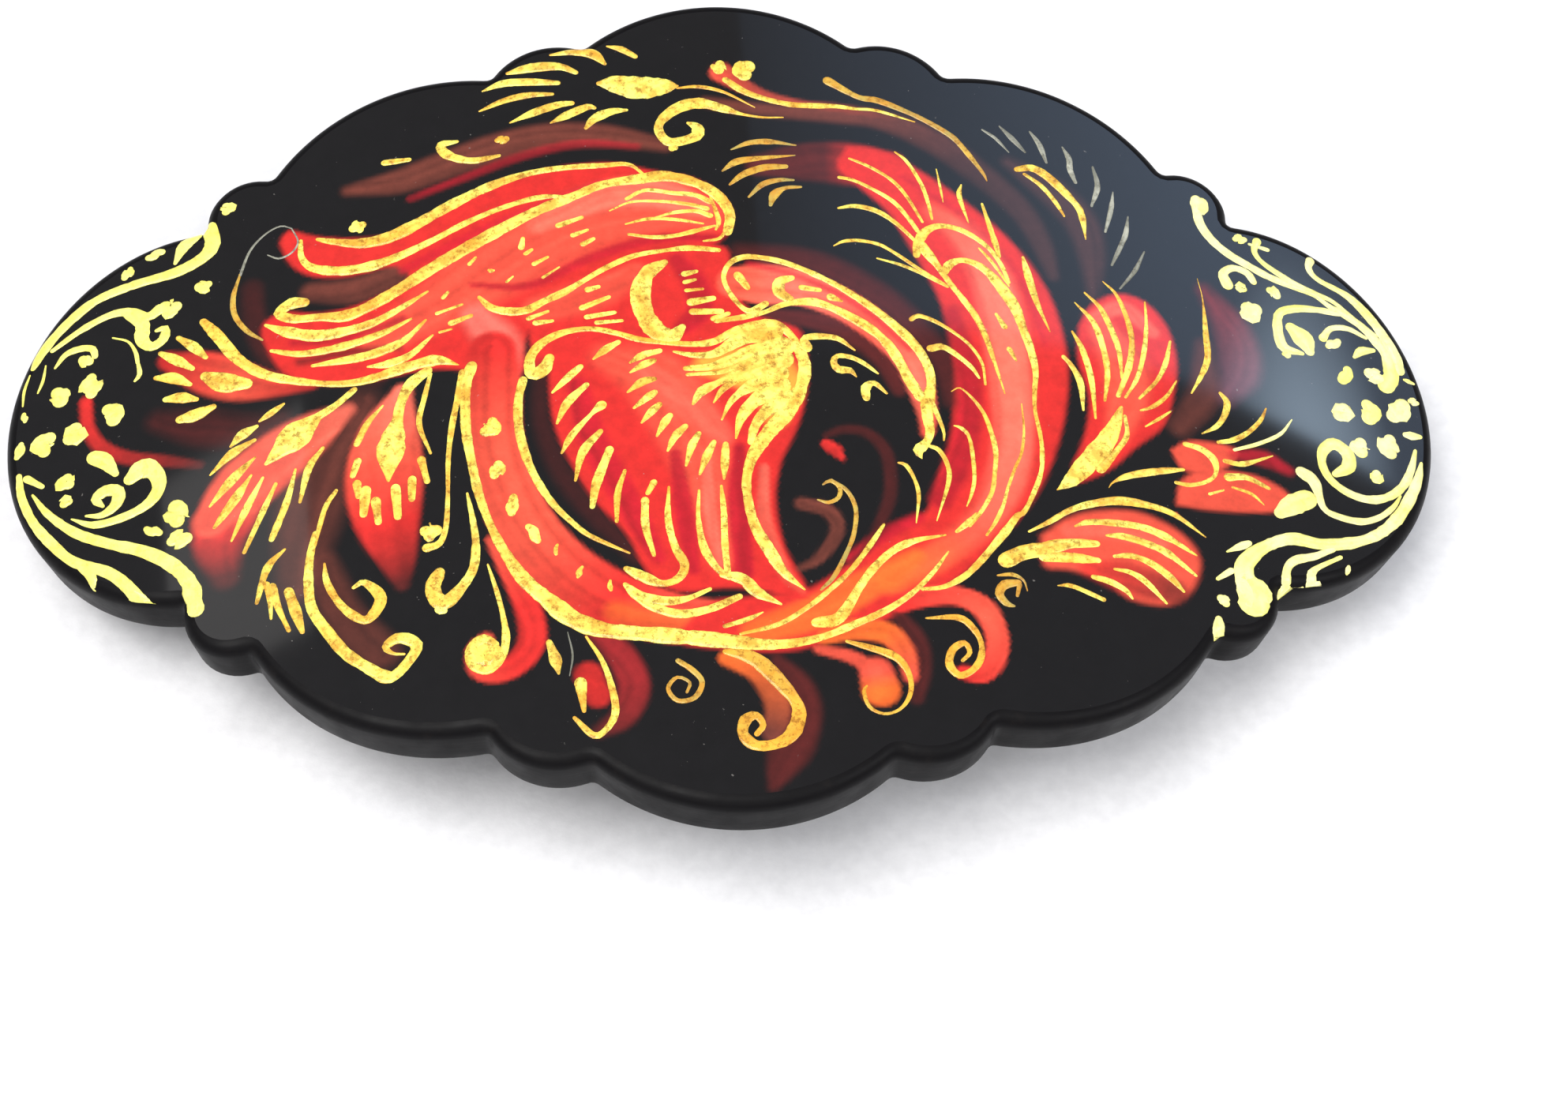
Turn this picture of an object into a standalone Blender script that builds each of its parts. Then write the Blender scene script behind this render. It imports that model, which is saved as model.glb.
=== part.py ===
"""Lacquered hair barrette: an arched, scalloped papier-mache plate glued to a spring-steel hair clasp.

Metres, +Z up. The barrette lies face up on a table at z = 0. Its length runs along X and its width
along Y, and the origin is on the table under the middle of the plate.

The plate and the clasp's base strip are arcs about one common axis, which lies along Y far below the
table. A flat outline is bent onto an arc by `arch`: x stays the distance from the middle measured on
the plate's painted face, and depth is counted from that face towards the hair.
"""

import math

import bmesh
import bpy
from mathutils import Matrix, Vector

MM = 0.001
CLEARANCE = 0.05 * MM

# Plate
OVERALL_HEIGHT = 13.7 * MM
ARCH_RADIUS = 185.0 * MM
PLATE_THICKNESS = 3.8 * MM
PLATE_EDGE_ROUND = 0.5 * MM
END_LOBE_REACH = 13.4 * MM
# The corners between the scallops of one quarter, from the end lobe to the middle lobe.
NOTCHES = [(36.6 * MM, 15.2 * MM), (32.1 * MM, 19.2 * MM), (16.5 * MM, 26.6 * MM), (9.8 * MM, 29.0 * MM)]
LOBE_RISES = [1.8 * MM, 2.67 * MM, 1.37 * MM]
MIDDLE_LOBE_RISE = 3.82 * MM
NOTCH_EASE = 0.45 * MM
ARCH_STATION = 2.5 * MM

# Base strip of the clasp
GLUE_GAP = 0.5 * MM
STRIP_THICKNESS = 0.8 * MM
STRIP_WIDTH = 9.0 * MM
STRIP_REACH = 39.0 * MM
STRIP_CORNER = 2.5 * MM
SEWING_HOLE_RADIUS = 1.2 * MM
SEWING_HOLES = [-20.0 * MM, 0.0, 20.0 * MM]
BASE_TOP_DEPTH = PLATE_THICKNESS + GLUE_GAP
BASE_BOTTOM_DEPTH = BASE_TOP_DEPTH + STRIP_THICKNESS

# Glue between the strip's ends and the back of the plate
GLUE_WIDTH = 7.6 * MM
GLUE_OUTER = 38.0 * MM
GLUE_INNER = 24.0 * MM

# Hinge
PIN_X = 35.5 * MM
PIN_HEIGHT = 2.4 * MM
PIN_RADIUS = 0.8 * MM
PIN_HEAD_RADIUS = 1.3 * MM
PIN_HEAD_THICKNESS = 0.5 * MM
EAR_OUTSIDE = 4.45 * MM
EAR_THICKNESS = 0.8 * MM
EAR_ROOT_HALF = 3.0 * MM
EAR_FOOT_HALF = 1.3 * MM

# Closing arm: a channel, web down, that lies level while it is closed
ARM_BOTTOM = 1.2 * MM
ARM_SHEET = 0.5 * MM
ARM_HALF_WIDTH = 3.3 * MM
ARM_SIDE_TOP = 2.8 * MM
ARM_TIP_X = -40.0 * MM
ARM_CHANNEL_START_X = -32.5 * MM
ARM_SIDE_FULL_X = -28.5 * MM
ARM_KNUCKLE_START_X = 29.0 * MM
KNUCKLE_RADIUS = 1.6 * MM
ARM_TIP_ROUND = 1.4 * MM
WINDOW_X = (-38.5 * MM, -34.2 * MM)
WINDOW_HALF_WIDTH = 2.3 * MM

# Leaf spring, held at both ends by lugs of the base strip
LEAF_REACH = 27.5 * MM
LEAF_HALF_WIDTH = 2.2 * MM
LEAF_THICKNESS = 0.3 * MM
LEAF_MIDDLE_BOTTOM = 1.85 * MM
LEAF_END_BOTTOM = 6.0 * MM
LUG_X = 26.5 * MM
LUG_LENGTH = 2.0 * MM
LUG_THICKNESS = 0.45 * MM
LUG_SLACK = 0.15 * MM
LUG_FOOT_REACH = 0.8 * MM

# Catch: a riveted stamping whose two tabs pass through the arm's window
BRIDGE_SHEET = 0.5 * MM
BRIDGE_HALF_WIDTH = 2.4 * MM
BRIDGE_WAIST_HALF = 1.3 * MM
BRIDGE_TOP = 4.15 * MM
BRIDGE_X = (-38.5 * MM, -34.2 * MM)
RIVET_ZONE_X = (-33.4 * MM, -29.2 * MM)
RIVET_X = -31.3 * MM
RIVET_RADIUS = 0.9 * MM
RIVET_TOP_HEAD = (1.5 * MM, 0.3 * MM)
RIVET_BOTTOM_HEAD = (1.7 * MM, 0.5 * MM)
TAB_X = (-38.1 * MM, -34.6 * MM)
TAB_INNER_Y = 1.5 * MM
TAB_SHEET = 0.5 * MM
TAB_AXIS_HEIGHT = 3.9 * MM
BARB_BOTTOM = 0.45 * MM
BARB_TOP = 1.1 * MM


# ---------------------------------------------------------------- outlines


def arc_between(start, end, rise, steps):
    """Points on the circular arc from start to end that bows out to the right of the walk by rise."""
    start = Vector(start)
    end = Vector(end)
    chord = end - start
    outward = Vector((chord.y, -chord.x)).normalized()
    radius = (chord.length_squared / 4 + rise * rise) / (2 * rise)
    centre = (start + end) / 2 - outward * (radius - rise)
    half_angle = math.asin(chord.length / 2 / radius)
    if rise > radius:
        half_angle = math.pi - half_angle
    points = []
    for step in range(steps + 1):
        turn = half_angle * (2 * step / steps - 1)
        spoke = outward * math.cos(turn) + chord.normalized() * math.sin(turn)
        points.append(centre + spoke * radius)
    return points


def end_lobe(side, steps):
    """Half an ellipse round one end of the plate, walked anticlockwise; side is 1 or -1."""
    centre_x, half_height = NOTCHES[0]
    points = []
    for step in range(steps + 1):
        turn = math.pi * (step / steps - 0.5)
        x = centre_x + END_LOBE_REACH * math.cos(turn)
        points.append(Vector((x * side, half_height * math.sin(turn) * side)))
    return points


def plate_stretches():
    """The plate's scallops in anticlockwise order, each a list of points from notch to notch."""
    quarter = list(zip(NOTCHES[:-1], NOTCHES[1:], LOBE_RISES, (6, 10, 6)))
    stretches = []
    for side in (1, -1):
        stretches.append(end_lobe(side, 24))
        for start, end, rise, steps in quarter:
            turned = [Vector(start) * side, Vector(end) * side]
            stretches.append(arc_between(turned[0], turned[1], rise, steps))
        middle = Vector(NOTCHES[-1])
        across = Vector((-middle.x, middle.y))
        stretches.append(arc_between(middle * side, across * side, MIDDLE_LOBE_RISE, 12))
        for start, end, rise, steps in reversed(quarter):
            first = Vector((-end[0], end[1])) * side
            last = Vector((-start[0], start[1])) * side
            stretches.append(arc_between(first, last, rise, steps))
    return stretches


def ease_corners(stretches, ease):
    """Join the stretches into one loop, with each notch rounded by a small curve."""
    trimmed = []
    for points in stretches:
        first, last = points[0], points[-1]
        inner = [p for p in points if (p - first).length > ease * 1.3 and (p - last).length > ease * 1.3]
        lead_in = first + (points[1] - first).normalized() * ease
        lead_out = last + (points[-2] - last).normalized() * ease
        trimmed.append([lead_in, *inner, lead_out])
    loop = []
    for index, points in enumerate(trimmed):
        corner = stretches[index][-1]
        following = trimmed[(index + 1) % len(trimmed)][0]
        loop.extend(points)
        loop.append((points[-1] + corner * 2 + following) / 4)
    return loop


def inset_loop(loop, distance):
    """The loop moved inwards by distance, mitred at its corners."""
    moved = []
    for index, point in enumerate(loop):
        before = (point - loop[index - 1]).normalized()
        after = (loop[(index + 1) % len(loop)] - point).normalized()
        inward = Vector((-before.y - after.y, before.x + after.x)).normalized()
        lengthen = 1 / max(0.5, inward.dot(Vector((-after.y, after.x))))
        moved.append(point + inward * distance * lengthen)
    return moved


def rounded_rectangle(x_low, x_high, half_width, corner, steps=5):
    """An anticlockwise rectangle, symmetric about y = 0, with round corners."""
    points = []
    centres = [(x_high, -1), (x_high, 1), (x_low, 1), (x_low, -1)]
    for index, (x_edge, side) in enumerate(centres):
        inward = -1 if x_edge == x_high else 1
        centre = Vector((x_edge + inward * corner, side * (half_width - corner)))
        for step in range(steps + 1):
            turn = math.pi / 2 * (index - 1 + step / steps)
            points.append(centre + Vector((math.cos(turn), math.sin(turn))) * corner)
    return points


# ---------------------------------------------------------------- the common arch


def arch(x, y, depth):
    """The place of a point that lies depth below the painted face at distance x from the middle."""
    angle = math.asin(x / ARCH_RADIUS)
    radius = ARCH_RADIUS - depth
    return Vector((radius * math.sin(angle), y, OVERALL_HEIGHT - ARCH_RADIUS + radius * math.cos(angle)))


def height_at(x, depth):
    """The height above the table of the surface at this depth, straight above x."""
    return OVERALL_HEIGHT - ARCH_RADIUS + math.sqrt((ARCH_RADIUS - depth) ** 2 - x * x)


def bend_onto_arch(bm, station):
    """Cut a flat solid at regular stations and bend it; its z is minus the depth."""
    reach = max(abs(v.co.x) for v in bm.verts)
    count = int(reach / station)
    for index in range(-count, count + 1):
        plane_point = Vector(((index + 0.37) * station, 0, 0))
        geometry = bm.verts[:] + bm.edges[:] + bm.faces[:]
        bmesh.ops.bisect_plane(bm, geom=geometry, plane_co=plane_point, plane_no=Vector((1, 0, 0)), dist=1e-7)
    for vert in bm.verts:
        vert.co = arch(vert.co.x, vert.co.y, -vert.co.z)


# ---------------------------------------------------------------- solids and objects


def stacked_loops(rings):
    """A closed solid whose walls join the rings in order, with a face across the first and the last."""
    bm = bmesh.new()
    made = [[bm.verts.new(point) for point in ring] for ring in rings]
    for lower, upper in zip(made[:-1], made[1:]):
        for index in range(len(lower)):
            following = (index + 1) % len(lower)
            bm.faces.new((lower[index], lower[following], upper[following], upper[index]))
    bm.faces.new(list(reversed(made[0])))
    bm.faces.new(made[-1])
    return bm


def prism(outline, axis, low, high):
    """A closed solid: the outline, drawn across the axis, pushed from low to high along it."""
    place = {
        "X": lambda a, b, along: (along, a, b),
        "Y": lambda a, b, along: (a, along, b),
        "Z": lambda a, b, along: (a, b, along),
    }[axis]
    bm = stacked_loops([[place(a, b, along) for a, b in outline] for along in (low, high)])
    bmesh.ops.recalc_face_normals(bm, faces=bm.faces)
    return bm


def turned(profile, segments=20):
    """A closed solid of revolution about Z; the profile runs from its foot to its top, off the axis."""
    rings = []
    for radius, height in profile:
        ring = []
        for index in range(segments):
            turn = 2 * math.pi * index / segments
            ring.append((radius * math.cos(turn), radius * math.sin(turn), height))
        rings.append(ring)
    bm = stacked_loops(rings)
    bmesh.ops.recalc_face_normals(bm, faces=bm.faces)
    return bm


def make_material(name, colour, metallic, roughness):
    material = bpy.data.materials.new(name)
    material.use_nodes = True
    shader = material.node_tree.nodes["Principled BSDF"]
    shader.inputs["Base Color"].default_value = (*colour, 1)
    shader.inputs["Metallic"].default_value = metallic
    shader.inputs["Roughness"].default_value = roughness
    return material


def make_object(name, bm, material=None, origin=(0, 0, 0)):
    """An object from a mesh in world coordinates, with its origin where it turns."""
    bmesh.ops.translate(bm, vec=-Vector(origin), verts=bm.verts)
    mesh = bpy.data.meshes.new(name)
    bm.to_mesh(mesh)
    bm.free()
    if material:
        mesh.materials.append(material)
    mesh.shade_smooth()
    mesh.set_sharp_from_angle(angle=math.radians(35))
    made = bpy.data.objects.new(name, mesh)
    made.location = origin
    bpy.context.scene.collection.objects.link(made)
    return made


def combine(target, bm, operation):
    """Add a solid to the target, or cut it out, by a Boolean that stays on the object."""
    helper = make_object(f"helper_{len(bpy.data.objects)}", bm)
    helper.hide_render = True
    helper.display_type = "WIRE"
    modifier = target.modifiers.new(operation.lower(), "BOOLEAN")
    modifier.operation = operation
    modifier.solver = "EXACT"
    modifier.object = helper


def cross_cylinder(x, height, radius, half_length, segments=20):
    """A cylinder along Y through the point at x and height."""
    bm = turned([(radius, -half_length), (radius, half_length)], segments)
    bmesh.ops.rotate(bm, cent=(0, 0, 0), matrix=Matrix.Rotation(math.pi / 2, 3, "X"), verts=bm.verts)
    bmesh.ops.translate(bm, vec=(x, 0, height), verts=bm.verts)
    return bm


def stand_on_arch(bm, x, depth):
    """Move a solid made about Z so that Z is square to the arch at x and z = 0 lies at the depth."""
    angle = math.asin(x / ARCH_RADIUS)
    bmesh.ops.rotate(bm, cent=(0, 0, 0), matrix=Matrix.Rotation(angle, 3, "Y"), verts=bm.verts)
    bmesh.ops.translate(bm, vec=arch(x, 0, depth), verts=bm.verts)
    return bm


# ---------------------------------------------------------------- the plate and its glue


def make_plate(material):
    outline = ease_corners(plate_stretches(), NOTCH_EASE)
    rings = []
    round_steps = 2
    for step in range(round_steps + 1):
        turn = math.pi / 2 * step / round_steps
        rings.append((PLATE_EDGE_ROUND * (1 - math.sin(turn)), -PLATE_EDGE_ROUND * (1 - math.cos(turn))))
    for inset, height in reversed(rings[:]):
        rings.append((inset, -PLATE_THICKNESS - height))
    solid = []
    for inset, height in reversed(rings):
        solid.append([(p.x, p.y, height) for p in inset_loop(outline, inset)])
    bm = stacked_loops(solid)
    bend_onto_arch(bm, ARCH_STATION)
    bmesh.ops.triangulate(bm, faces=bm.faces)
    bmesh.ops.recalc_face_normals(bm, faces=bm.faces)
    return make_object("lacquer_plate", bm, material)


def make_glue_pad(name, x_low, x_high, material, hole_x=None):
    outline = rounded_rectangle(x_low, x_high, GLUE_WIDTH / 2, 1.2 * MM, 3)
    top = -PLATE_THICKNESS - CLEARANCE
    bottom = -BASE_TOP_DEPTH + CLEARANCE
    bm = prism(outline, "Z", bottom, top)
    bend_onto_arch(bm, ARCH_STATION)
    pad = make_object(name, bm, material)
    if hole_x is not None:
        relief = turned([(2.0 * MM, -1.5 * MM), (2.0 * MM, 1.5 * MM)])
        combine(pad, stand_on_arch(relief, hole_x, PLATE_THICKNESS), "DIFFERENCE")
    return pad


# ---------------------------------------------------------------- the base strip


def ear_outline():
    """One hinge ear seen from the side: wide in the strip, narrowing to a flat foot on the table."""
    root_low = height_at(PIN_X - EAR_ROOT_HALF, BASE_BOTTOM_DEPTH) + STRIP_THICKNESS / 2
    root_high = height_at(PIN_X + EAR_ROOT_HALF, BASE_BOTTOM_DEPTH) + STRIP_THICKNESS / 2
    shoulder = PIN_HEIGHT + 1.0 * MM
    cheek = EAR_FOOT_HALF + 0.7 * MM
    return [
        (PIN_X - EAR_FOOT_HALF, 0),
        (PIN_X + EAR_FOOT_HALF, 0),
        (PIN_X + cheek, 0.9 * MM),
        (PIN_X + cheek, shoulder),
        (PIN_X + EAR_ROOT_HALF, root_high - STRIP_THICKNESS * 0.6),
        (PIN_X + EAR_ROOT_HALF, root_high),
        (PIN_X - EAR_ROOT_HALF, root_low),
        (PIN_X - EAR_ROOT_HALF, root_low - STRIP_THICKNESS * 0.6),
        (PIN_X - cheek, shoulder),
        (PIN_X - cheek, 0.9 * MM),
    ]


def lug_outline(side, x):
    """An L seen along the strip: a leg down from the strip and a foot under the leaf's edge."""
    leg_inside = LEAF_HALF_WIDTH + LUG_SLACK
    leg_outside = leg_inside + LUG_THICKNESS
    root = height_at(x, BASE_BOTTOM_DEPTH) + STRIP_THICKNESS / 2
    foot_top = LEAF_END_BOTTOM - LUG_SLACK
    foot_bottom = foot_top - LUG_THICKNESS
    points = [
        (leg_outside, root),
        (leg_outside, foot_bottom),
        (leg_inside - LUG_FOOT_REACH, foot_bottom),
        (leg_inside - LUG_FOOT_REACH, foot_top),
        (leg_inside, foot_top),
        (leg_inside, root),
    ]
    return [(y * side, z) for y, z in points]


def make_base(material):
    outline = rounded_rectangle(-STRIP_REACH, STRIP_REACH, STRIP_WIDTH / 2, STRIP_CORNER)
    bm = prism(outline, "Z", -BASE_BOTTOM_DEPTH, -BASE_TOP_DEPTH)
    bend_onto_arch(bm, ARCH_STATION)
    base = make_object("clasp_base", bm, material)
    for side in (1, -1):
        edges = sorted((side * (EAR_OUTSIDE - EAR_THICKNESS), side * EAR_OUTSIDE))
        combine(base, prism(ear_outline(), "Y", *edges), "UNION")
        for x in (LUG_X, -LUG_X):
            lug = prism(lug_outline(side, LUG_X), "X", x - LUG_LENGTH / 2, x + LUG_LENGTH / 2)
            combine(base, lug, "UNION")
    combine(base, cross_cylinder(PIN_X, PIN_HEIGHT, PIN_RADIUS + CLEARANCE, 6 * MM), "DIFFERENCE")
    for x in SEWING_HOLES:
        drill = turned([(SEWING_HOLE_RADIUS, -2 * MM), (SEWING_HOLE_RADIUS, 2 * MM)])
        combine(base, stand_on_arch(drill, x, BASE_BOTTOM_DEPTH), "DIFFERENCE")
    drill = turned([(RIVET_RADIUS + CLEARANCE, -2 * MM), (RIVET_RADIUS + CLEARANCE, 2 * MM)])
    combine(base, stand_on_arch(drill, RIVET_X, BASE_BOTTOM_DEPTH), "DIFFERENCE")
    return base


def make_hinge_pin(material):
    """A straight pin whose two ends are peened over outside the ears."""
    seat = EAR_OUTSIDE + CLEARANCE
    end = seat + PIN_HEAD_THICKNESS
    crown = PIN_HEAD_RADIUS * 0.6
    profile = [
        (crown, -end),
        (PIN_HEAD_RADIUS, -end + PIN_HEAD_THICKNESS / 2),
        (PIN_HEAD_RADIUS, -seat),
        (PIN_RADIUS, -seat),
        (PIN_RADIUS, seat),
        (PIN_HEAD_RADIUS, seat),
        (PIN_HEAD_RADIUS, end - PIN_HEAD_THICKNESS / 2),
        (crown, end),
    ]
    bm = turned(profile)
    bmesh.ops.rotate(bm, cent=(0, 0, 0), matrix=Matrix.Rotation(math.pi / 2, 3, "X"), verts=bm.verts)
    bmesh.ops.translate(bm, vec=(PIN_X, 0, PIN_HEIGHT), verts=bm.verts)
    return make_object("hinge_pin", bm, material)


# ---------------------------------------------------------------- the closing arm


def arm_side_outline():
    """The arm seen from the side, from its thin tip to the round knuckle about the pin."""
    web_top = ARM_BOTTOM + ARM_SHEET
    points = [
        (ARM_TIP_X, ARM_BOTTOM),
        (ARM_TIP_X, web_top),
        (ARM_CHANNEL_START_X, web_top),
        (ARM_SIDE_FULL_X, ARM_SIDE_TOP),
        (ARM_KNUCKLE_START_X, ARM_SIDE_TOP),
    ]
    drop = PIN_HEIGHT - ARM_BOTTOM
    last_turn = -math.asin(drop / KNUCKLE_RADIUS)
    steps = 12
    for step in range(steps + 1):
        turn = math.pi / 2 + (last_turn - math.pi / 2) * step / steps
        points.append((PIN_X + KNUCKLE_RADIUS * math.cos(turn), PIN_HEIGHT + KNUCKLE_RADIUS * math.sin(turn)))
    return points


def make_arm(material):
    bm = prism(arm_side_outline(), "Y", -ARM_HALF_WIDTH, ARM_HALF_WIDTH)
    tip_edges = []
    for edge in bm.edges:
        a, b = (vert.co for vert in edge.verts)
        if abs(a.x - ARM_TIP_X) < 1e-6 and abs(b.x - ARM_TIP_X) < 1e-6 and abs(a.y - b.y) < 1e-6:
            tip_edges.append(edge)
    bmesh.ops.bevel(bm, geom=tip_edges, offset=ARM_TIP_ROUND, segments=4, profile=0.5, affect="EDGES")
    arm = make_object("closing_arm", bm, material, origin=(PIN_X, 0, PIN_HEIGHT))
    inner = ARM_HALF_WIDTH - ARM_SHEET
    floor = ARM_BOTTOM + ARM_SHEET
    channel_start = ARM_CHANNEL_START_X + ARM_SHEET
    beyond = PIN_X + 2 * KNUCKLE_RADIUS
    above = PIN_HEIGHT + 2 * KNUCKLE_RADIUS
    channel = [(channel_start, floor), (beyond, floor), (beyond, above), (channel_start, above)]
    combine(arm, prism(channel, "Y", -inner, inner), "DIFFERENCE")
    window = rounded_rectangle(*WINDOW_X, WINDOW_HALF_WIDTH, 0.15 * MM, 2)
    combine(arm, prism(window, "Z", 0, 4 * MM), "DIFFERENCE")
    combine(arm, cross_cylinder(PIN_X, PIN_HEIGHT, PIN_RADIUS + CLEARANCE, 6 * MM), "DIFFERENCE")
    return arm


# ---------------------------------------------------------------- the leaf spring


def make_leaf(material):
    """A bowed leaf: its ends lie in the lugs and its middle sinks into the arm's channel."""
    rise = LEAF_END_BOTTOM - LEAF_MIDDLE_BOTTOM
    steps = 28
    lower = []
    for step in range(steps + 1):
        x = LEAF_REACH * (2 * step / steps - 1)
        z = LEAF_MIDDLE_BOTTOM + rise * math.sin(math.pi / 2 * x / LEAF_REACH) ** 2
        lower.append((x, z))
    upper = [(x, z + LEAF_THICKNESS) for x, z in reversed(lower)]
    return make_object("leaf_spring", prism(lower + upper, "Y", -LEAF_HALF_WIDTH, LEAF_HALF_WIDTH), material)


# ---------------------------------------------------------------- the catch


def bridge_outline():
    """The stamping seen from the side: level between the tabs, then up to lie along the base strip."""
    along_strip = []
    steps = 4
    for step in range(steps + 1):
        x = RIVET_ZONE_X[0] + (RIVET_ZONE_X[1] - RIVET_ZONE_X[0]) * step / steps
        along_strip.append((x, height_at(x, BASE_BOTTOM_DEPTH) - CLEARANCE))
    top = [(BRIDGE_X[0], BRIDGE_TOP), (BRIDGE_X[1], BRIDGE_TOP), *along_strip]
    bottom = [(x, z - BRIDGE_SHEET) for x, z in reversed(top)]
    return bottom + top


def make_catch_bridge(material):
    bm = prism(bridge_outline(), "Y", -BRIDGE_HALF_WIDTH, BRIDGE_HALF_WIDTH)
    bridge = make_object("catch_bridge", bm, material)
    for side in (1, -1):
        inside, outside = side * BRIDGE_WAIST_HALF, side * 2 * BRIDGE_HALF_WIDTH
        notch = [(-45 * MM, 0), (BRIDGE_X[1] + 0.3 * MM, 0), (BRIDGE_X[1] + 0.3 * MM, 8 * MM), (-45 * MM, 8 * MM)]
        combine(bridge, prism(notch, "Y", *sorted((inside, outside))), "DIFFERENCE")
    drill = turned([(RIVET_RADIUS + CLEARANCE, -2 * MM), (RIVET_RADIUS + CLEARANCE, 2 * MM)])
    combine(bridge, stand_on_arch(drill, RIVET_X, BASE_BOTTOM_DEPTH), "DIFFERENCE")
    return bridge


def make_catch_rivet(material):
    """A rivet through the strip and the stamping, with a flat head under the plate."""
    above = STRIP_THICKNESS + CLEARANCE
    below = -BRIDGE_SHEET - 2 * CLEARANCE
    top_radius, top_thickness = RIVET_TOP_HEAD
    bottom_radius, bottom_thickness = RIVET_BOTTOM_HEAD
    profile = [
        (bottom_radius * 0.6, below - bottom_thickness),
        (bottom_radius, below - bottom_thickness / 2),
        (bottom_radius, below),
        (RIVET_RADIUS, below),
        (RIVET_RADIUS, above),
        (top_radius, above),
        (top_radius, above + top_thickness),
    ]
    return make_object("catch_rivet", stand_on_arch(turned(profile), RIVET_X, BASE_BOTTOM_DEPTH), material)


def make_catch_tab(name, side, material):
    """A tab that hangs beside the bridge, with an outward barb below the arm and a foot on the table."""
    inside = TAB_INNER_Y
    outside = TAB_INNER_Y + TAB_SHEET
    barb = WINDOW_HALF_WIDTH - CLEARANCE
    profile = [
        (inside, BRIDGE_TOP),
        (outside, BRIDGE_TOP),
        (outside, BARB_TOP),
        (barb, BARB_TOP),
        (outside, BARB_BOTTOM),
        (outside - 0.05 * MM, 0),
        (inside + 0.05 * MM, 0),
        (inside, 0.3 * MM),
    ]
    bm = prism([(y * side, z) for y, z in profile], "X", *TAB_X)
    axis_y = side * (TAB_INNER_Y + TAB_SHEET / 2)
    return make_object(name, bm, material, origin=(TAB_X[0], axis_y, TAB_AXIS_HEIGHT))


# ---------------------------------------------------------------- the barrette


def main():
    for existing in list(bpy.data.objects):
        bpy.data.objects.remove(existing, do_unlink=True)
    lacquer = make_material("black_lacquer", (0.012, 0.011, 0.013), 0.0, 0.12)
    steel = make_material("nickel_plated_steel", (0.62, 0.61, 0.58), 1.0, 0.28)
    spring_steel = make_material("spring_steel", (0.42, 0.42, 0.43), 1.0, 0.35)
    glue = make_material("epoxy_glue", (0.75, 0.66, 0.42), 0.0, 0.3)
    make_plate(lacquer)
    make_glue_pad("glue_pad_hinge_end", GLUE_INNER, GLUE_OUTER, glue)
    make_glue_pad("glue_pad_catch_end", -GLUE_OUTER, -GLUE_INNER, glue, hole_x=RIVET_X)
    make_base(steel)
    make_hinge_pin(steel)
    make_arm(steel)
    make_leaf(spring_steel)
    make_catch_bridge(spring_steel)
    make_catch_tab("catch_tab_front", -1, spring_steel)
    make_catch_tab("catch_tab_back", 1, spring_steel)
    make_catch_rivet(steel)


main()
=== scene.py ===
"""Looks of the lacquered hair barrette: a painted, varnished plate on its plated-steel clasp.

The clasp's pieces keep their CAD shape and get their metals. The plate is rebuilt as a fine mesh whose
face carries the red underpainting as soft brush washes, and every gold, ochre and silver stroke on top
is a raised ribbon of paint. Lengths in the lists below are millimetres on the flat painted face, x along
the barrette and y across it, and the face is then bent onto the plate's arch.
"""

import math

import bpy
import numpy as np
from mathutils import Matrix, Vector
from mathutils.geometry import delaunay_2d_cdt


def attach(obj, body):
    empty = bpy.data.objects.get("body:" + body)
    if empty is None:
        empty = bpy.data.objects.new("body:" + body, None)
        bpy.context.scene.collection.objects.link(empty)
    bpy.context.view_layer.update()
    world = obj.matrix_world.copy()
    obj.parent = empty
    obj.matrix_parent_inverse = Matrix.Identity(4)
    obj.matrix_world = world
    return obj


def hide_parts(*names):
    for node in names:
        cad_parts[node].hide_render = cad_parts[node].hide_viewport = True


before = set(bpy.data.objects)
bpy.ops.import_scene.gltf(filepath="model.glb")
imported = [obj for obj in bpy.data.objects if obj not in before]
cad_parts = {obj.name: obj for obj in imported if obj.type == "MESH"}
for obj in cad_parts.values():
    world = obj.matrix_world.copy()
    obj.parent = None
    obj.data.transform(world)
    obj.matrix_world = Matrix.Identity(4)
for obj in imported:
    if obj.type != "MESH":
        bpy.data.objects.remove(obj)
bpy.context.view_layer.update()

MM = 0.001

# ---------------------------------------------------------------- the plate's form, as in the CAD source
OVERALL_HEIGHT = 13.7
ARCH_RADIUS = 185.0
PLATE_THICKNESS = 3.8
END_LOBE_REACH = 13.4
NOTCHES = [(36.6, 15.2), (32.1, 19.2), (16.5, 26.6), (9.8, 29.0)]
LOBE_RISES = [1.8, 2.67, 1.37]
MIDDLE_LOBE_RISE = 3.82
NOTCH_EASE = 0.45

FACE_DEPTH = 0.08  # the varnished face lies this far down, which leaves room for the raised strokes
SIDE_INSET = 0.03  # the wall stands this far inside the CAD's wall
EDGE_ROUND = 0.9  # radius of the worn edge round the face
BACK_ROUND = 0.5
EDGE_STEPS = 6
WALL_STEPS = 4
FACE_SPACING = 0.27  # between mesh points on the painted face
BACK_SPACING = 1.6
END_LOBE_STEPS = 90
LOBE_STEPS = (16, 44, 18)
MIDDLE_LOBE_STEPS = 52

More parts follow.
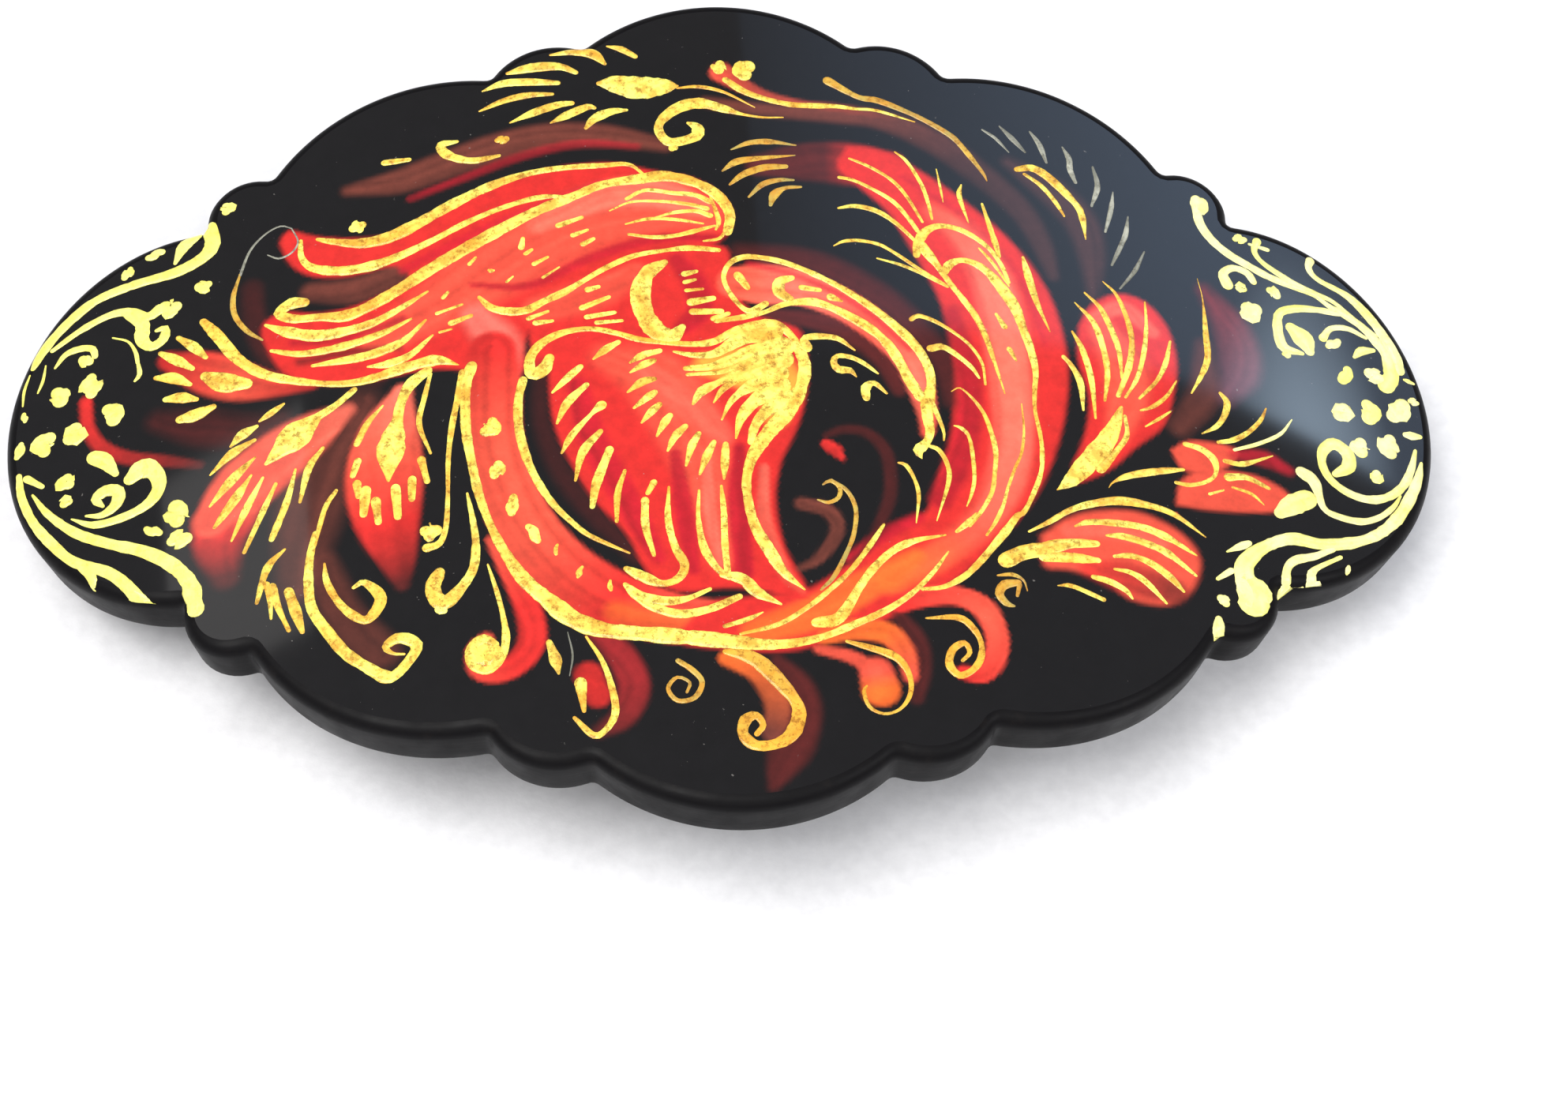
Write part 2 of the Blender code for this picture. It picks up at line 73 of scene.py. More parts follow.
# A raised stroke: its stations along the path, its cross-section as (place across, lift) with both as shares
# of half its width and of its height, and the shares of half its width at which its end caps have stations.
STROKE_SPACING = 0.32
STROKE_SINK = 0.03  # the strokes' undersides lie this far under the face
STROKE_MARGIN = 0.14  # strokes stay this far inside the plate's outline
CROWN = [(-1.0, -1.0), (-0.86, 0.45), (-0.45, 0.9), (0.0, 1.0), (0.45, 0.9), (0.86, 0.45), (1.0, -1.0)]
CAP = [0.97, 0.8, 0.45]
KNOT_STATIONS = 3  # stations between two changes of a stroke's width
PATCH_STATIONS = 6  # stations between two changes of its tone

# A wash: its stations along the path, and the bristle streaks across it
WASH_SPACING = 0.6
PATCH_SPACING = 0.8
BRISTLES = 64
BRISTLES_PER_MM = 2.6
STREAK_DEPTH = 0.3
EDGE_SOFTNESS = 0.75

UNDERPAINTING_SEED = 7
STROKE_SEED = 11

# Camera, with its lengths in millimetres like the rest
TARGET = (3.06, -14.17, 13.7)
DISTANCE = 213.47
AZIMUTH = math.radians(-6.53)
ELEVATION = math.radians(59.03)
ROLL = math.radians(4.84)
LENS = 74.44
SENSOR_WIDTH = 36
CLIP_START = 10.0

# Lights, in metres and watts: (name, place, aim, size, power, colour, direction of its width, spread). The
# first three lie outside the varnish's mirror as the camera sees it. The others are pale panels inside it,
# and a narrow spread makes a panel's mirror image fade out softly to the sides.
WIDE = math.pi
LEVEL = (1, 0, 0)
WINDOW_SLOPE = (0.87, -0.19, -0.45)
ORIGIN = (0, 0, 0)
LIGHTS = [
    ("key", (-0.3, -0.1, 0.85), ORIGIN, (0.6, 0.6), 8.7, (1.0, 0.99, 0.97), LEVEL, WIDE),
    ("front", (-0.1, -0.62, 0.62), ORIGIN, (1.4, 0.8), 3.6, (1.0, 0.99, 0.98), LEVEL, WIDE),
    ("fill", (0.6, -0.2, 0.6), ORIGIN, (0.4, 0.4), 2.5, (0.97, 0.98, 1.0), LEVEL, WIDE),
    (
        "window", (0.2163, 0.3373, 0.3584), (0.0274, 0.0972, 0.1002), (0.41, 0.12), 0.024,
        (0.48, 0.68, 1.0), WINDOW_SLOPE, math.radians(56),
    ),
    (
        "low_window", (0.3305, 0.2839, 0.3245), (0.0532, 0.0373, -0.0107), (0.16, 0.045), 0.000682,
        (0.65, 0.83, 1.0), WINDOW_SLOPE, math.radians(11),
    ),
    (
        "wall_glow", (-0.2335, 0.2435, 0.391), (-0.033, -0.012, 0.011), (0.075, 0.05), 0.012,
        (1, 0.98, 0.96), LEVEL, WIDE,
    ),
]
SURROUNDINGS = (0.33, 0.33, 0.34, 1)
FLOOR_HALF = 1.5

# Linear colours of the paints
TONES = {
    "black": (0.003, 0.0026, 0.0032),
    "maroon": (0.085, 0.009, 0.008),
    "wine": (0.26, 0.012, 0.014),
    "brown": (0.15, 0.034, 0.022),
    "umber": (0.05, 0.017, 0.015),
    "crimson": (0.43, 0.006, 0.018),
    "red": (0.62, 0.022, 0.018),
    "coral": (0.76, 0.082, 0.045),
    "light": (0.86, 0.15, 0.095),
    "rose": (0.78, 0.15, 0.11),
    "orange": (0.84, 0.135, 0.02),
    "mauve": (0.2, 0.06, 0.085),
    "gold": (0.95, 0.92, 0.17),
    "cream": (0.95, 0.9, 0.42),
    "ochre": (0.62, 0.4, 0.06),
    "amber": (0.9, 0.47, 0.05),
    "lemon": (0.94, 0.9, 0.24),
    "silver": (0.42, 0.42, 0.34),
    "olive": (0.3, 0.27, 0.09),
    "smoke": (0.16, 0.16, 0.13),
}
# What each stroke paint turns to where the brush ran thin
THINNED = {
    "gold": "amber",
    "lemon": "gold",
    "cream": "gold",
    "ochre": "olive",
    "amber": "ochre",
    "silver": "smoke",
}

# ---------------------------------------------------------------- strokes: (x, y, width) along each one
GOLD_LEFT_END = [
    [
        (-36.3, 15.3, 1.3), (-36, 13.9, 1.2), (-36.6, 12.8, 1), (-38.5, 11.8, 0.9), (-41.5, 11.2, 0.8),
        (-44, 10.4, 0.8), (-45.6, 9.2, 0.8), (-47, 7.7, 0.8), (-47.9, 6.4, 0.9), (-48.3, 5.4, 0.5),
    ],
    [(-37.3, 14.8, 1), (-38.1, 13.9, 1), (-38.6, 12.6, 0.3)],
    [
        (-47, 6.6, 0.4), (-45, 8, 0.6), (-43, 8.9, 0.7), (-41.6, 8.9, 0.8), (-40.3, 8.3, 0.8),
        (-39.5, 8.8, 0.9),
    ],
    [
        (-41.8, 8.9, 0.9), (-40.7, 7.8, 1.2), (-40.6, 6.4, 1.1), (-39.9, 5.7, 0.9), (-39.1, 6.2, 0.8),
        (-39, 7.1, 0.6), (-39.6, 7, 0.3),
    ],
    [(-46.7, 5.1, 0.2), (-46, 6.1, 0.5), (-44.9, 6.4, 0.6), (-44.1, 6.2, 0.6), (-43.9, 5.6, 0.5)],
    [(-42.7, 6.9, 0.15), (-41.6, 6.4, 0.2), (-41, 5.4, 0.3), (-40.8, 4.5, 0.3)],
    [(-40.8, 4.6, 0.22), (-40.6, 3.5, 0.4), (-40.9, 3, 0.22)],
    [(-47.4, 5.4, 0.14), (-47.5, 4.2, 0.25), (-47.8, 3.2, 0.14)],
    [(-48.5, 4.8, 0.14), (-48.8, 3.6, 0.25), (-48.8, 2.3, 0.14)],
    [(-43.3, -2.9, 1.3), (-42.6, -3.3, 1.2), (-41.8, -4.4, 0.6)],
    [(-48, -3.8, 0.55), (-46.9, -4.6, 0.39)],
    [
        (-43.6, -7.5, 0.2), (-42.5, -7.6, 0.6), (-41.6, -6.9, 1), (-41.5, -5.9, 1), (-42.4, -5.7, 1.1),
        (-43, -6.3, 0.8), (-42.5, -6.9, 0.3),
    ],
    [
        (-44.6, -7.6, 0.15), (-43, -8.3, 0.6), (-41, -8, 0.7), (-39.4, -7.2, 0.9), (-38.7, -6, 1),
        (-39, -4.8, 1.2), (-39.9, -4.3, 1.6), (-40.7, -5, 1),
    ],
    [
        (-48.6, -3.5, 0.5), (-48.3, -5.2, 0.7), (-47.3, -7.4, 0.7), (-45.8, -9.4, 0.8), (-44.2, -11, 0.8),
        (-41.8, -12.2, 0.9), (-40.3, -13.6, 1), (-39.3, -15.2, 1.4),
    ],
    [(-43.8, -11.4, 0.5), (-42.9, -12.4, 0.8), (-42.8, -13.3, 0.3)],
    [
        (-47.5, -5.2, 0.2), (-46.3, -6.9, 0.6), (-44.3, -8.7, 0.8), (-42, -9.9, 0.9), (-39.5, -10.9, 1),
        (-37.5, -12.2, 1.1), (-36.2, -13.8, 1.2), (-35.7, -15.8, 1.4),
    ],
]
GOLD_LEFT_FLOWERS = [
    [
        (-36.3, 7.2, 0.6), (-35.2, 5.8, 1), (-33.8, 3.8, 0.9), (-32, 2.3, 0.8), (-30, 1.5, 0.7),
        (-27.5, 0.9, 0.6), (-25.6, 0.8, 0.7), (-24, 1.1, 0.8), (-22, 1.7, 0.9), (-20, 2.1, 0.9),
        (-18.5, 1.6, 0.1),
    ],
    [(-38, 6.1, 0.4), (-36.9, 5.2, 0.8), (-36, 4.2, 0.4)],
    [(-39.2, 5, 0.4), (-38.1, 4.3, 0.9), (-36.9, 3.4, 0.4)],
    [(-39.4, 3, 0.4), (-38.2, 2.8, 1), (-37, 2.1, 0.4)],
    [(-38.6, 1.1, 0.5), (-37.6, 1.1, 1), (-36.5, 0.8, 0.4)],
    [(-37.5, -0.7, 0.7), (-36.5, -0.5, 1.1), (-35.3, 0, 0.5)],
    [(-35.9, 2.6, 0.9), (-34.6, 1.9, 1.7), (-33.1, 1.6, 1)],
    [(-25.6, 0.2, 0.5), (-26.8, -0.9, 0.6), (-28, -1.7, 0.7)],
    [(-28, -1.7, 0.7), (-29.6, -3.2, 2.2), (-31.4, -5.1, 0.3)],
    [(-30.4, -0.4, 0.2), (-31.2, -1, 0.6), (-32, -1.6, 0.2)],
    [(-32.2, -2, 0.3), (-33.2, -2.6, 0.8), (-33.9, -3.4, 0.2)],
    [(-32.3, -3.1, 0.3), (-33.8, -4, 0.75), (-35.2, -5.5, 0.15)],
    [(-32.2, -4.5, 0.2), (-33.7, -6.1, 0.8), (-35.1, -8, 0.2)],
    [(-32.4, -5.9, 0.2), (-33.5, -7.8, 0.8), (-34.7, -9.7, 0.3)],
    [(-31.6, -6.2, 0.2), (-32.6, -8.5, 0.6), (-33.5, -10.9, 0.2)],
    [(-30.7, -6.8, 0.3), (-31.6, -9.2, 0.5), (-32.6, -11.9, 0.3)],
    [(-29.4, -5.8, 0.2), (-29.9, -8.3, 0.5), (-30.8, -11.1, 0.5)],
    [(-27.6, -4.3, 0.3), (-28.5, -5.8, 0.6), (-29, -8.4, 0.25)],
    [(-20.6, 1.3, 0.7), (-21.8, 0.2, 0.9), (-22.4, -1.3, 0.8), (-22.6, -2.7, 0.9)],
    [(-22.6, -2.6, 0.9), (-23, -5, 2.1), (-23.1, -7.3, 0.3)],
    [(-23.6, -1.3, 0.15), (-24.6, -2.6, 0.5), (-25.3, -4.2, 0.5)],
    [(-25.2, -5.6, 0.6), (-25.5, -6.7, 0.42)],
    [(-25.2, -7.4, 0.6), (-25.1, -8.4, 0.42)],
    [(-24.6, -8, 0.8), (-24.7, -9.8, 0.56)],
    [(-23.9, -8.9, 0.7), (-23.7, -10.5, 0.49)],
    [(-22.6, -8, 0.8), (-22.4, -10.2, 0.56)],
    [(-21.5, -7.4, 0.7), (-21.5, -8.9, 0.49)],
    [(-20.9, -5.9, 0.6), (-20.5, -7.6, 0.42)],
    [(-20.4, 1, 0.3), (-20.8, -1, 0.4), (-21.1, -3, 0.4), (-20.3, -5.4, 0.2)],
    [
        (-18.2, 0.9, 0.6), (-18.5, -1, 0.5), (-18.9, -3.5, 0.5), (-19.1, -6, 0.35), (-19.1, -9, 0.35),
        (-19.2, -11.3, 0.4), (-19.6, -12.5, 0.5), (-20.4, -12.8, 0.7),
    ],
    [
        (-27.9, -11, 0.45), (-28.2, -13, 0.6), (-28.2, -15, 0.7), (-27.9, -16.8, 0.8), (-26.9, -18.5, 0.8),
        (-25.6, -20.3, 0.9), (-24, -21.6, 0.9), (-22.9, -22.3, 1), (-22.1, -22, 0.8), (-21, -20.4, 0.8),
        (-21.4, -19.7, 0.9), (-22.3, -19.5, 0.8), (-23, -20.1, 0.6), (-22.5, -20.6, 0.3),
        (-21.8, -20.7, 0.2),
    ],
    [
        (-27.2, -13.4, 0.2), (-27, -14.8, 0.5), (-26.2, -16.4, 0.6), (-25.2, -17.5, 0.7),
        (-24.2, -17.9, 0.8), (-23.4, -16.4, 0.9), (-24.5, -15.1, 0.6), (-25.2, -15.4, 0.3),
    ],
    [(-29.9, -12, 0.2), (-31, -13.3, 0.6), (-31.6, -15.9, 0.3)],
    [(-31, -14.6, 0.5), (-30.7, -16, 0.4), (-30.6, -17.2, 0.2)],
    [(-30.6, -14.8, 0.7), (-30.2, -16.3, 0.5), (-29.4, -18.2, 0.3)],
    [(-29.5, -15.3, 0.7), (-29, -16.8, 0.9), (-28.5, -18.4, 0.4)],
    [
        (-17.8, -8.8, 0.2), (-17.4, -11, 0.5), (-17.2, -13, 0.6), (-17.5, -15, 0.7), (-19, -17, 1),
        (-19.7, -16.8, 1.2), (-20, -15.8, 1.2), (-19.6, -14.8, 0.9),
    ],
    [(-26.6, -7.8, 0.3), (-27.3, -9.1, 0.4), (-27.9, -11.9, 0.3)],
]
SILVER_LEFT = [
    [(-30.4, 14.4, 0.12), (-31.2, 14.7, 0.15), (-32.3, 14.1, 0.17), (-33.3, 12.8, 0.2), (-33.9, 10.8, 0.24)],
    [(-32, 12.3, 0.11), (-31.2, 11.9, 0.18), (-30.3, 12.3, 0.16), (-29.9, 13.2, 0.14), (-30.4, 14.4, 0.1)],
    [(-11.2, -19.8, 0.08), (-10.9, -21.5, 0.15), (-11.1, -23, 0.08)],
]
GOLD_RING = [
    [
        (-17.6, 1.4, 0.9), (-18, 0, 0.9), (-18, -2, 0.8), (-17.9, -4, 0.7), (-17.5, -6.5, 0.7),
        (-17, -9, 0.7), (-16.2, -11.5, 0.6), (-15.2, -13.7, 0.8), (-14, -15.7, 1), (-12.5, -17.3, 1.3),
        (-10.9, -18.8, 1.4), (-9, -19.7, 1.2), (-6.5, -20.1, 1.2), (-4, -20.4, 1.2), (-1, -20.8, 1.2),
        (1.5, -21.1, 0.9), (3.5, -21, 0.7), (5.5, -20.5, 0.6), (7.5, -19.6, 0.6), (9.5, -18.6, 0.5),
        (11.3, -17.3, 0.4), (12.8, -15.7, 0.35), (14, -14, 0.15),
    ],
    [
        (-14.1, 0, 0.7), (-14.4, -1.5, 0.7), (-14.4, -3.5, 0.7), (-14.1, -5.3, 0.7), (-13.6, -7, 0.6),
        (-12.9, -8.6, 0.6), (-12, -10.1, 0.5), (-11, -11.3, 0.5), (-9.9, -12.4, 0.4), (-8.6, -13.2, 0.35),
        (-7.1, -14, 0.15),
    ],
    [
        (5, -19.5, 0.9), (6.5, -19.1, 0.9), (8, -16.7, 0.6), (9, -15.3, 0.6), (10.3, -14, 0.6),
        (11.8, -13.2, 0.5), (13.9, -12.7, 0.15),
    ],
    [
        (0, -20.3, 0.22), (2.5, -19.6, 0.4), (4.5, -18.3, 0.4), (6.2, -16.8, 0.4), (7.6, -15.3, 0.4),
        (9, -13.3, 0.4), (9.8, -12, 0.22),
    ],
    [(14.7, -12.4, 0.28), (15.6, -11.6, 0.5), (16.1, -11, 0.28)],
    [(-1, -19.7, 0.3), (0.5, -19.2, 0.4), (1.5, -18.7, 0.1)],
    [(-7.4, -16.4, 0.4), (-6.5, -17.3, 0.9), (-5, -17.7, 0.8), (-3.5, -17.6, 0.5), (-1.9, -16.9, 0.3)],
    [(-7, -17, 0.5), (-5.8, -18, 0.7), (-4, -18.7, 0.7), (-2, -18.4, 0.6), (0, -17.5, 0.5)],
    [(-1, -15.8, 0.6), (0.3, -16.2, 0.9), (1.2, -17.2, 0.9), (2.7, -18.1, 0.2)],
    [
        (-16.4, -14.4, 0.15), (-15.8, -16.5, 0.35), (-15.4, -18.3, 0.4), (-15.2, -20, 0.6),
        (-15.5, -21.5, 0.6), (-16.4, -22.3, 0.7), (-17.3, -21.8, 0.8), (-17.4, -20.6, 0.8),
        (-16.6, -20, 0.8), (-15.9, -20.4, 0.6),
    ],
    [
        (-10, -20.2, 0.2), (-9, -22, 0.4), (-8.4, -24, 0.5), (-8.2, -25.8, 0.6), (-8.8, -27, 0.5),
        (-9.6, -27.4, 0.5), (-10.8, -26.1, 0.3),
    ],
    [(-10.4, -23.6, 0.9), (-10.2, -25.6, 0.3)],
    [(-12.4, -20.5, 0.5), (-12, -21.8, 0.9), (-11.8, -22.8, 0.2)],
]
OCHRE_CURLS = [
    [
        (-4.1, -22.2, 0.4), (-3.2, -22.9, 0.5), (-2.6, -23.8, 0.4), (-3.1, -24.9, 0.4),
        (-4.2, -25.1, 0.35), (-4.8, -24.2, 0.3), (-4.2, -23.4, 0.3), (-3.4, -23.8, 0.25),
        (-3.6, -24.5, 0.2),
    ],
    [(17.2, -15.7, 0.15), (18.2, -15.6, 0.35), (18.9, -16, 0.2), (19.1, -16.8, 0.1)],
    [(18.5, -16.2, 0.5), (17.6, -16.4, 0.7), (17.2, -17.1, 0.7), (17.6, -17.8, 0.5), (18.1, -18, 0.2)],
    [(18.6, -16.4, 0.4), (18.4, -17.2, 0.28)],
    [
        (5.5, -10.1, 0.15), (6.2, -10.3, 0.3), (6.9, -9.9, 0.35), (7, -9.1, 0.35), (6.4, -8.6, 0.3),
        (5.9, -8.9, 0.15),
    ],
    [
        (6.5, -8.5, 0.15), (7.5, -9.4, 0.35), (8, -10.8, 0.35), (7.8, -12.6, 0.35), (7.3, -14, 0.35),
        (6.3, -16, 0.35), (5.4, -17, 0.19),
    ],
    [(-33.9, 10.9, 0.18), (-34.3, 9, 0.4), (-34.1, 7.4, 0.45), (-33.2, 6, 0.4), (-32.1, 5.1, 0.2)],
    [
        (7.9, 25.5, 0.7), (10, 24.1, 0.5), (11.5, 23.8, 0.6), (14.2, 22.5, 0.5), (16.3, 21.1, 0.5),
        (17.2, 20.1, 0.5), (18.6, 17.8, 0.3), (18.9, 17, 0.1),
    ],
]
GOLD_UPPER_WING = [
    [
        (-5.4, 16.9, 0.2), (-6.6, 18, 0.35), (-8.5, 18, 0.5), (-11.5, 17.9, 0.5), (-14, 17.5, 0.6),
        (-16.5, 16.6, 0.8), (-19, 15.3, 0.9), (-21.5, 13.8, 1), (-23.5, 12.8, 1), (-25.5, 12.5, 0.9),
        (-27.5, 12.9, 0.6), (-28.5, 13.2, 0.3),
    ],
    [
        (-11, 15.4, 0.2), (-13, 15.4, 0.5), (-15.5, 14.7, 0.5), (-18, 13.6, 0.5), (-20.5, 12.2, 0.6),
        (-23, 11, 0.8), (-25, 10.4, 0.9), (-27, 10.3, 0.9), (-28.8, 10.8, 0.7), (-29.6, 11.8, 0.5),
        (-29.7, 13.2, 0.3),
    ],
    [
        (0.2, 12, 0.7), (0.4, 13.5, 0.8), (-0.3, 15, 0.9), (-1.8, 16.2, 0.9), (-4, 16.9, 1),
        (-6, 16.7, 0.9), (-8.5, 16.3, 0.7), (-10.5, 15.4, 0.8), (-13, 14.3, 0.9), (-15.5, 12.9, 1),
        (-18, 11.4, 1.1), (-20.5, 9.8, 1.1), (-22.8, 8.2, 1), (-25, 6.9, 1), (-26.5, 6.4, 1),
        (-28, 6.5, 0.7), (-30, 6.6, 0.8), (-31, 7.2, 0.9), (-30.2, 7.9, 1), (-29.3, 7.9, 0.8),
    ],
    [
        (-31.9, 6.3, 0.3), (-30.5, 5.6, 0.9), (-28.5, 5, 1), (-26.5, 5.1, 0.9), (-24.5, 5.6, 0.7),
        (-22.5, 6.7, 0.5), (-20.7, 7.9, 0.2),
    ],
    [
        (-31.4, 4.1, 0.3), (-29.5, 3.6, 0.6), (-27.5, 3.7, 0.7), (-25.5, 4.1, 0.7), (-23.5, 4.8, 0.5),
        (-21.8, 5.7, 0.2),
    ],
    [(-28.5, 2.5, 0.3), (-25.5, 2.8, 0.8), (-23.8, 3.2, 0.8), (-22.2, 4, 0.6), (-20.8, 5.5, 0.2)],
    [(-24.7, 2, 0.2), (-23.3, 2.1, 0.7), (-21.8, 2.7, 0.6), (-20.3, 4.2, 0.2)],
    [(-17.8, 10, 0.35), (-17.4, 10.5, 0.24)],
    [(-15.2, 8.3, 0.25), (-14.8, 8.7, 0.17)],
    [(-13.9, 10.6, 0.4), (-13.5, 10.9, 0.28)],
    [(-13.3, 9.7, 0.4), (-12.4, 10.2, 0.28)],
    [(-12.7, 8.5, 0.25), (-11.6, 9.3, 0.17)],
    [(-19.6, 7.3, 0.4), (-19.3, 7.7, 0.28)],
    [(-20, 6, 0.3), (-18.3, 6.6, 0.21)],
    [(-19, 5.1, 0.5), (-17.7, 5.6, 0.35)],
    [(-19.8, 4.4, 0.25), (-19, 4.6, 0.17)],
    [(-11.6, 12.9, 0.5), (-10, 13.5, 0.35)],
    [(-14.2, 11.2, 0.5), (-14.1, 11.9, 0.35)],
    [(-10.6, 12, 0.4), (-9.6, 12.4, 0.28)],
    [(-9.9, 11.2, 0.5), (-9.2, 11.6, 0.35)],
    [(-6.8, 15, 0.3), (-5.5, 15.7, 0.35), (-3.5, 15.4, 0.41), (-2, 15.2, 0.46), (-1, 14.6, 0.5)],
    [(-8, 14, 0.15), (-6.5, 14.7, 0.21), (-4.5, 14.7, 0.28), (-2.5, 14.4, 0.35), (-1.2, 14, 0.4)],
    [(-4.8, 13.3, 0.2), (-3.5, 13.7, 0.3), (-2, 13.8, 0.42), (-1, 13.4, 0.5)],
    [(-6.9, 12.8, 0.17), (-5.3, 13.2, 0.3), (-3.5, 13.1, 0.3), (-1.5, 12.7, 0.17)],
    [(-6.7, 11.9, 0.22), (-5, 11.6, 0.4), (-3.5, 11.7, 0.4), (-2, 12.1, 0.4), (-0.7, 12.5, 0.22)],
    [(-0.9, 15, 0.22), (-0.4, 13, 0.4), (-0.6, 12.2, 0.22)],
    [(-1.5, 11.2, 0.17), (-0.4, 11.4, 0.3), (0.1, 12.2, 0.17)],
    [
        (-17.1, 7.1, 0.3), (-16.3, 6.2, 0.6), (-15.2, 5.8, 0.8), (-13.9, 5.8, 0.7), (-12.6, 6.5, 0.6),
        (-11.2, 7.2, 0.6), (-10, 8, 0.5), (-8.5, 9, 0.5), (-6.5, 10, 0.5), (-4.5, 10.4, 0.4),
        (-2.5, 10.6, 0.5), (-0.5, 10.4, 0.4),
    ],
    [(-13.7, 5.1, 0.4), (-12.4, 5.6, 0.28)],
    [(-13.2, 4.7, 0.5), (-12.1, 4.8, 0.35)],
    [(-9.6, 7.3, 0.5), (-8.9, 7.5, 0.35)],
    [(-10, 5.8, 0.5), (-8.2, 6.6, 0.35)],
    [(-9.7, 5, 0.45), (-7.8, 5.3, 0.32)],
    [(-9, 4.5, 0.4), (-7.3, 4.6, 0.28)],
    [
        (-4.3, 9.4, 0.6), (-5.5, 8.5, 1.3), (-6, 6.8, 1.4), (-5.7, 5, 1.4), (-4.9, 3.6, 1.5),
        (-3.9, 3.2, 1.4), (-3.2, 3.9, 0.6),
    ],
    [(-2.9, 8.4, 0.5), (-2.1, 8.6, 0.35)],
    [(-2.9, 7.7, 0.4), (-2.2, 7.9, 0.28)],
    [(-2.8, 7, 0.35), (-1.7, 7.1, 0.24)],
    [(-2.5, 6, 0.7), (-1, 6.3, 0.49)],
    [(-2.4, 5.2, 0.7), (-0.5, 5.2, 0.49)],
    [(-1, 4.6, 0.5), (0, 5, 0.35)],
    [
        (-12.3, 1.7, 0.8), (-12.7, 0.8, 1), (-13.5, 0.5, 1), (-13.6, 1.8, 0.8), (-12.8, 3, 0.7),
        (-11.3, 3.8, 0.6), (-9.5, 4, 0.5), (-7.8, 3.6, 0.5), (-6.2, 3, 0.5), (-4.5, 2.7, 0.5),
        (-2.5, 2.5, 0.5), (-1, 2.7, 0.6), (0.5, 3.6, 0.7), (2.8, 4.1, 0.9), (3.9, 3.6, 0.7),
        (4.8, 2.3, 0.6),
    ],
]
GOLD_TOP_LEFT = [
    [(-23.9, 19.4, 0.6), (-22.2, 19.5, 0.42)],
    [
        (-18.8, 20.8, 0.3), (-19.9, 20.6, 0.7), (-19.7, 19.9, 0.9), (-18.8, 19.3, 0.7), (-17.5, 19, 0.6),
        (-15.8, 19.3, 0.3),
    ],
    [(-12.1, 28.2, 0.2), (-10.3, 28.4, 0.7), (-9, 28.1, 0.9), (-8.2, 27.2, 0.3)],
    [(-8, 28.8, 0.15), (-7, 28.5, 0.6), (-6, 27.8, 0.4)],
    [(-15.2, 26.7, 0.3), (-13.5, 27.1, 0.9), (-11.5, 27.1, 0.7), (-10.3, 26.5, 0.4)],
    [(-17, 25.2, 0.15), (-15.5, 25.8, 0.7), (-13.5, 25.8, 0.7), (-11.6, 25.6, 0.4)],
    [(-17.2, 23.4, 0.15), (-15.5, 24.2, 0.6), (-13.8, 24.6, 0.6), (-12, 24.6, 0.3)],
    [(-15, 22.2, 0.15), (-13.3, 23, 0.7), (-11.6, 23.6, 0.6), (-10.6, 23.7, 0.4)],
    [(-12.1, 22, 0.15), (-11, 22.6, 0.7), (-9.5, 23.3, 0.6), (-9, 23.2, 0.3)],
    [(-9.6, 21.4, 0.3), (-9, 22.2, 0.8), (-7.8, 22.8, 0.7), (-6.7, 22.9, 0.3)],
    [(-8.6, 25.4, 0.5), (-7.5, 25.3, 1.8), (-5.8, 24.9, 2.3), (-3.8, 25, 1.4), (-3, 25, 0.2)],
    [(-3, 24.8, 0.2), (-1.5, 24.9, 0.35), (0.3, 24.4, 0.3), (2.5, 23, 0.1)],
    [
        (4.5, 22.1, 0.1), (3, 22.1, 0.2), (1.5, 22.4, 0.3), (0.2, 22.9, 0.8), (-1.5, 23.4, 1),
        (-3, 23, 1.1), (-4.2, 21.9, 0.8), (-4.4, 20.9, 0.7), (-3.6, 19.9, 0.8), (-1.8, 20.4, 0.9),
        (-1.7, 21.2, 0.9), (-2.3, 21.6, 0.3),
    ],
]
GOLD_TOP_RIGHT = [
    [
        (0.5, 25.5, 0.6), (1.7, 24.5, 0.6), (3.2, 23.8, 0.5), (5, 23.3, 0.5), (6.8, 23.2, 0.5),
        (8.3, 23.2, 0.4), (9.8, 23, 0.3), (11.3, 22.9, 0.3), (14, 22, 0.1),
    ],
    [
        (21.2, 18.2, 0.5), (22.3, 18.4, 0.7), (23.5, 17.6, 0.8), (25.2, 15.5, 0.6), (25.6, 14.4, 0.6),
        (25.7, 12.4, 0.1),
    ],
    [(21.7, 17.8, 0.3), (22.8, 16.9, 0.4), (23.7, 15.6, 0.4), (24.3, 14.3, 0.15)],
]
SILVER_TOP_RIGHT = [
    [(18.9, 21.6, 0.15), (19.8, 20.9, 0.3), (20.7, 19.7, 0.1)],
    [(20.2, 22, 0.15), (21, 21, 0.5), (21.9, 19.8, 0.2)],
    [(22.4, 21.7, 0.15), (23, 20.6, 0.5), (23.4, 19, 0.2)],
    [(24.7, 20.5, 0.15), (25.1, 19.5, 0.5), (25.1, 18.5, 0.5), (25.4, 17.4, 0.3)],
    [(26.8, 18.9, 0.2), (27, 17.2, 0.5), (26.4, 15.4, 0.2)],
    [(28.1, 16.8, 0.1), (27.8, 15.2, 0.4), (27.2, 13.2, 0.2)],
    [(29, 14.7, 0.15), (28.7, 13.2, 0.4), (28.2, 12, 0.4), (27.4, 10.3, 0.2)],
    [(29.9, 11.7, 0.15), (29, 9.9, 0.35), (27.8, 8.3, 0.15)],
]
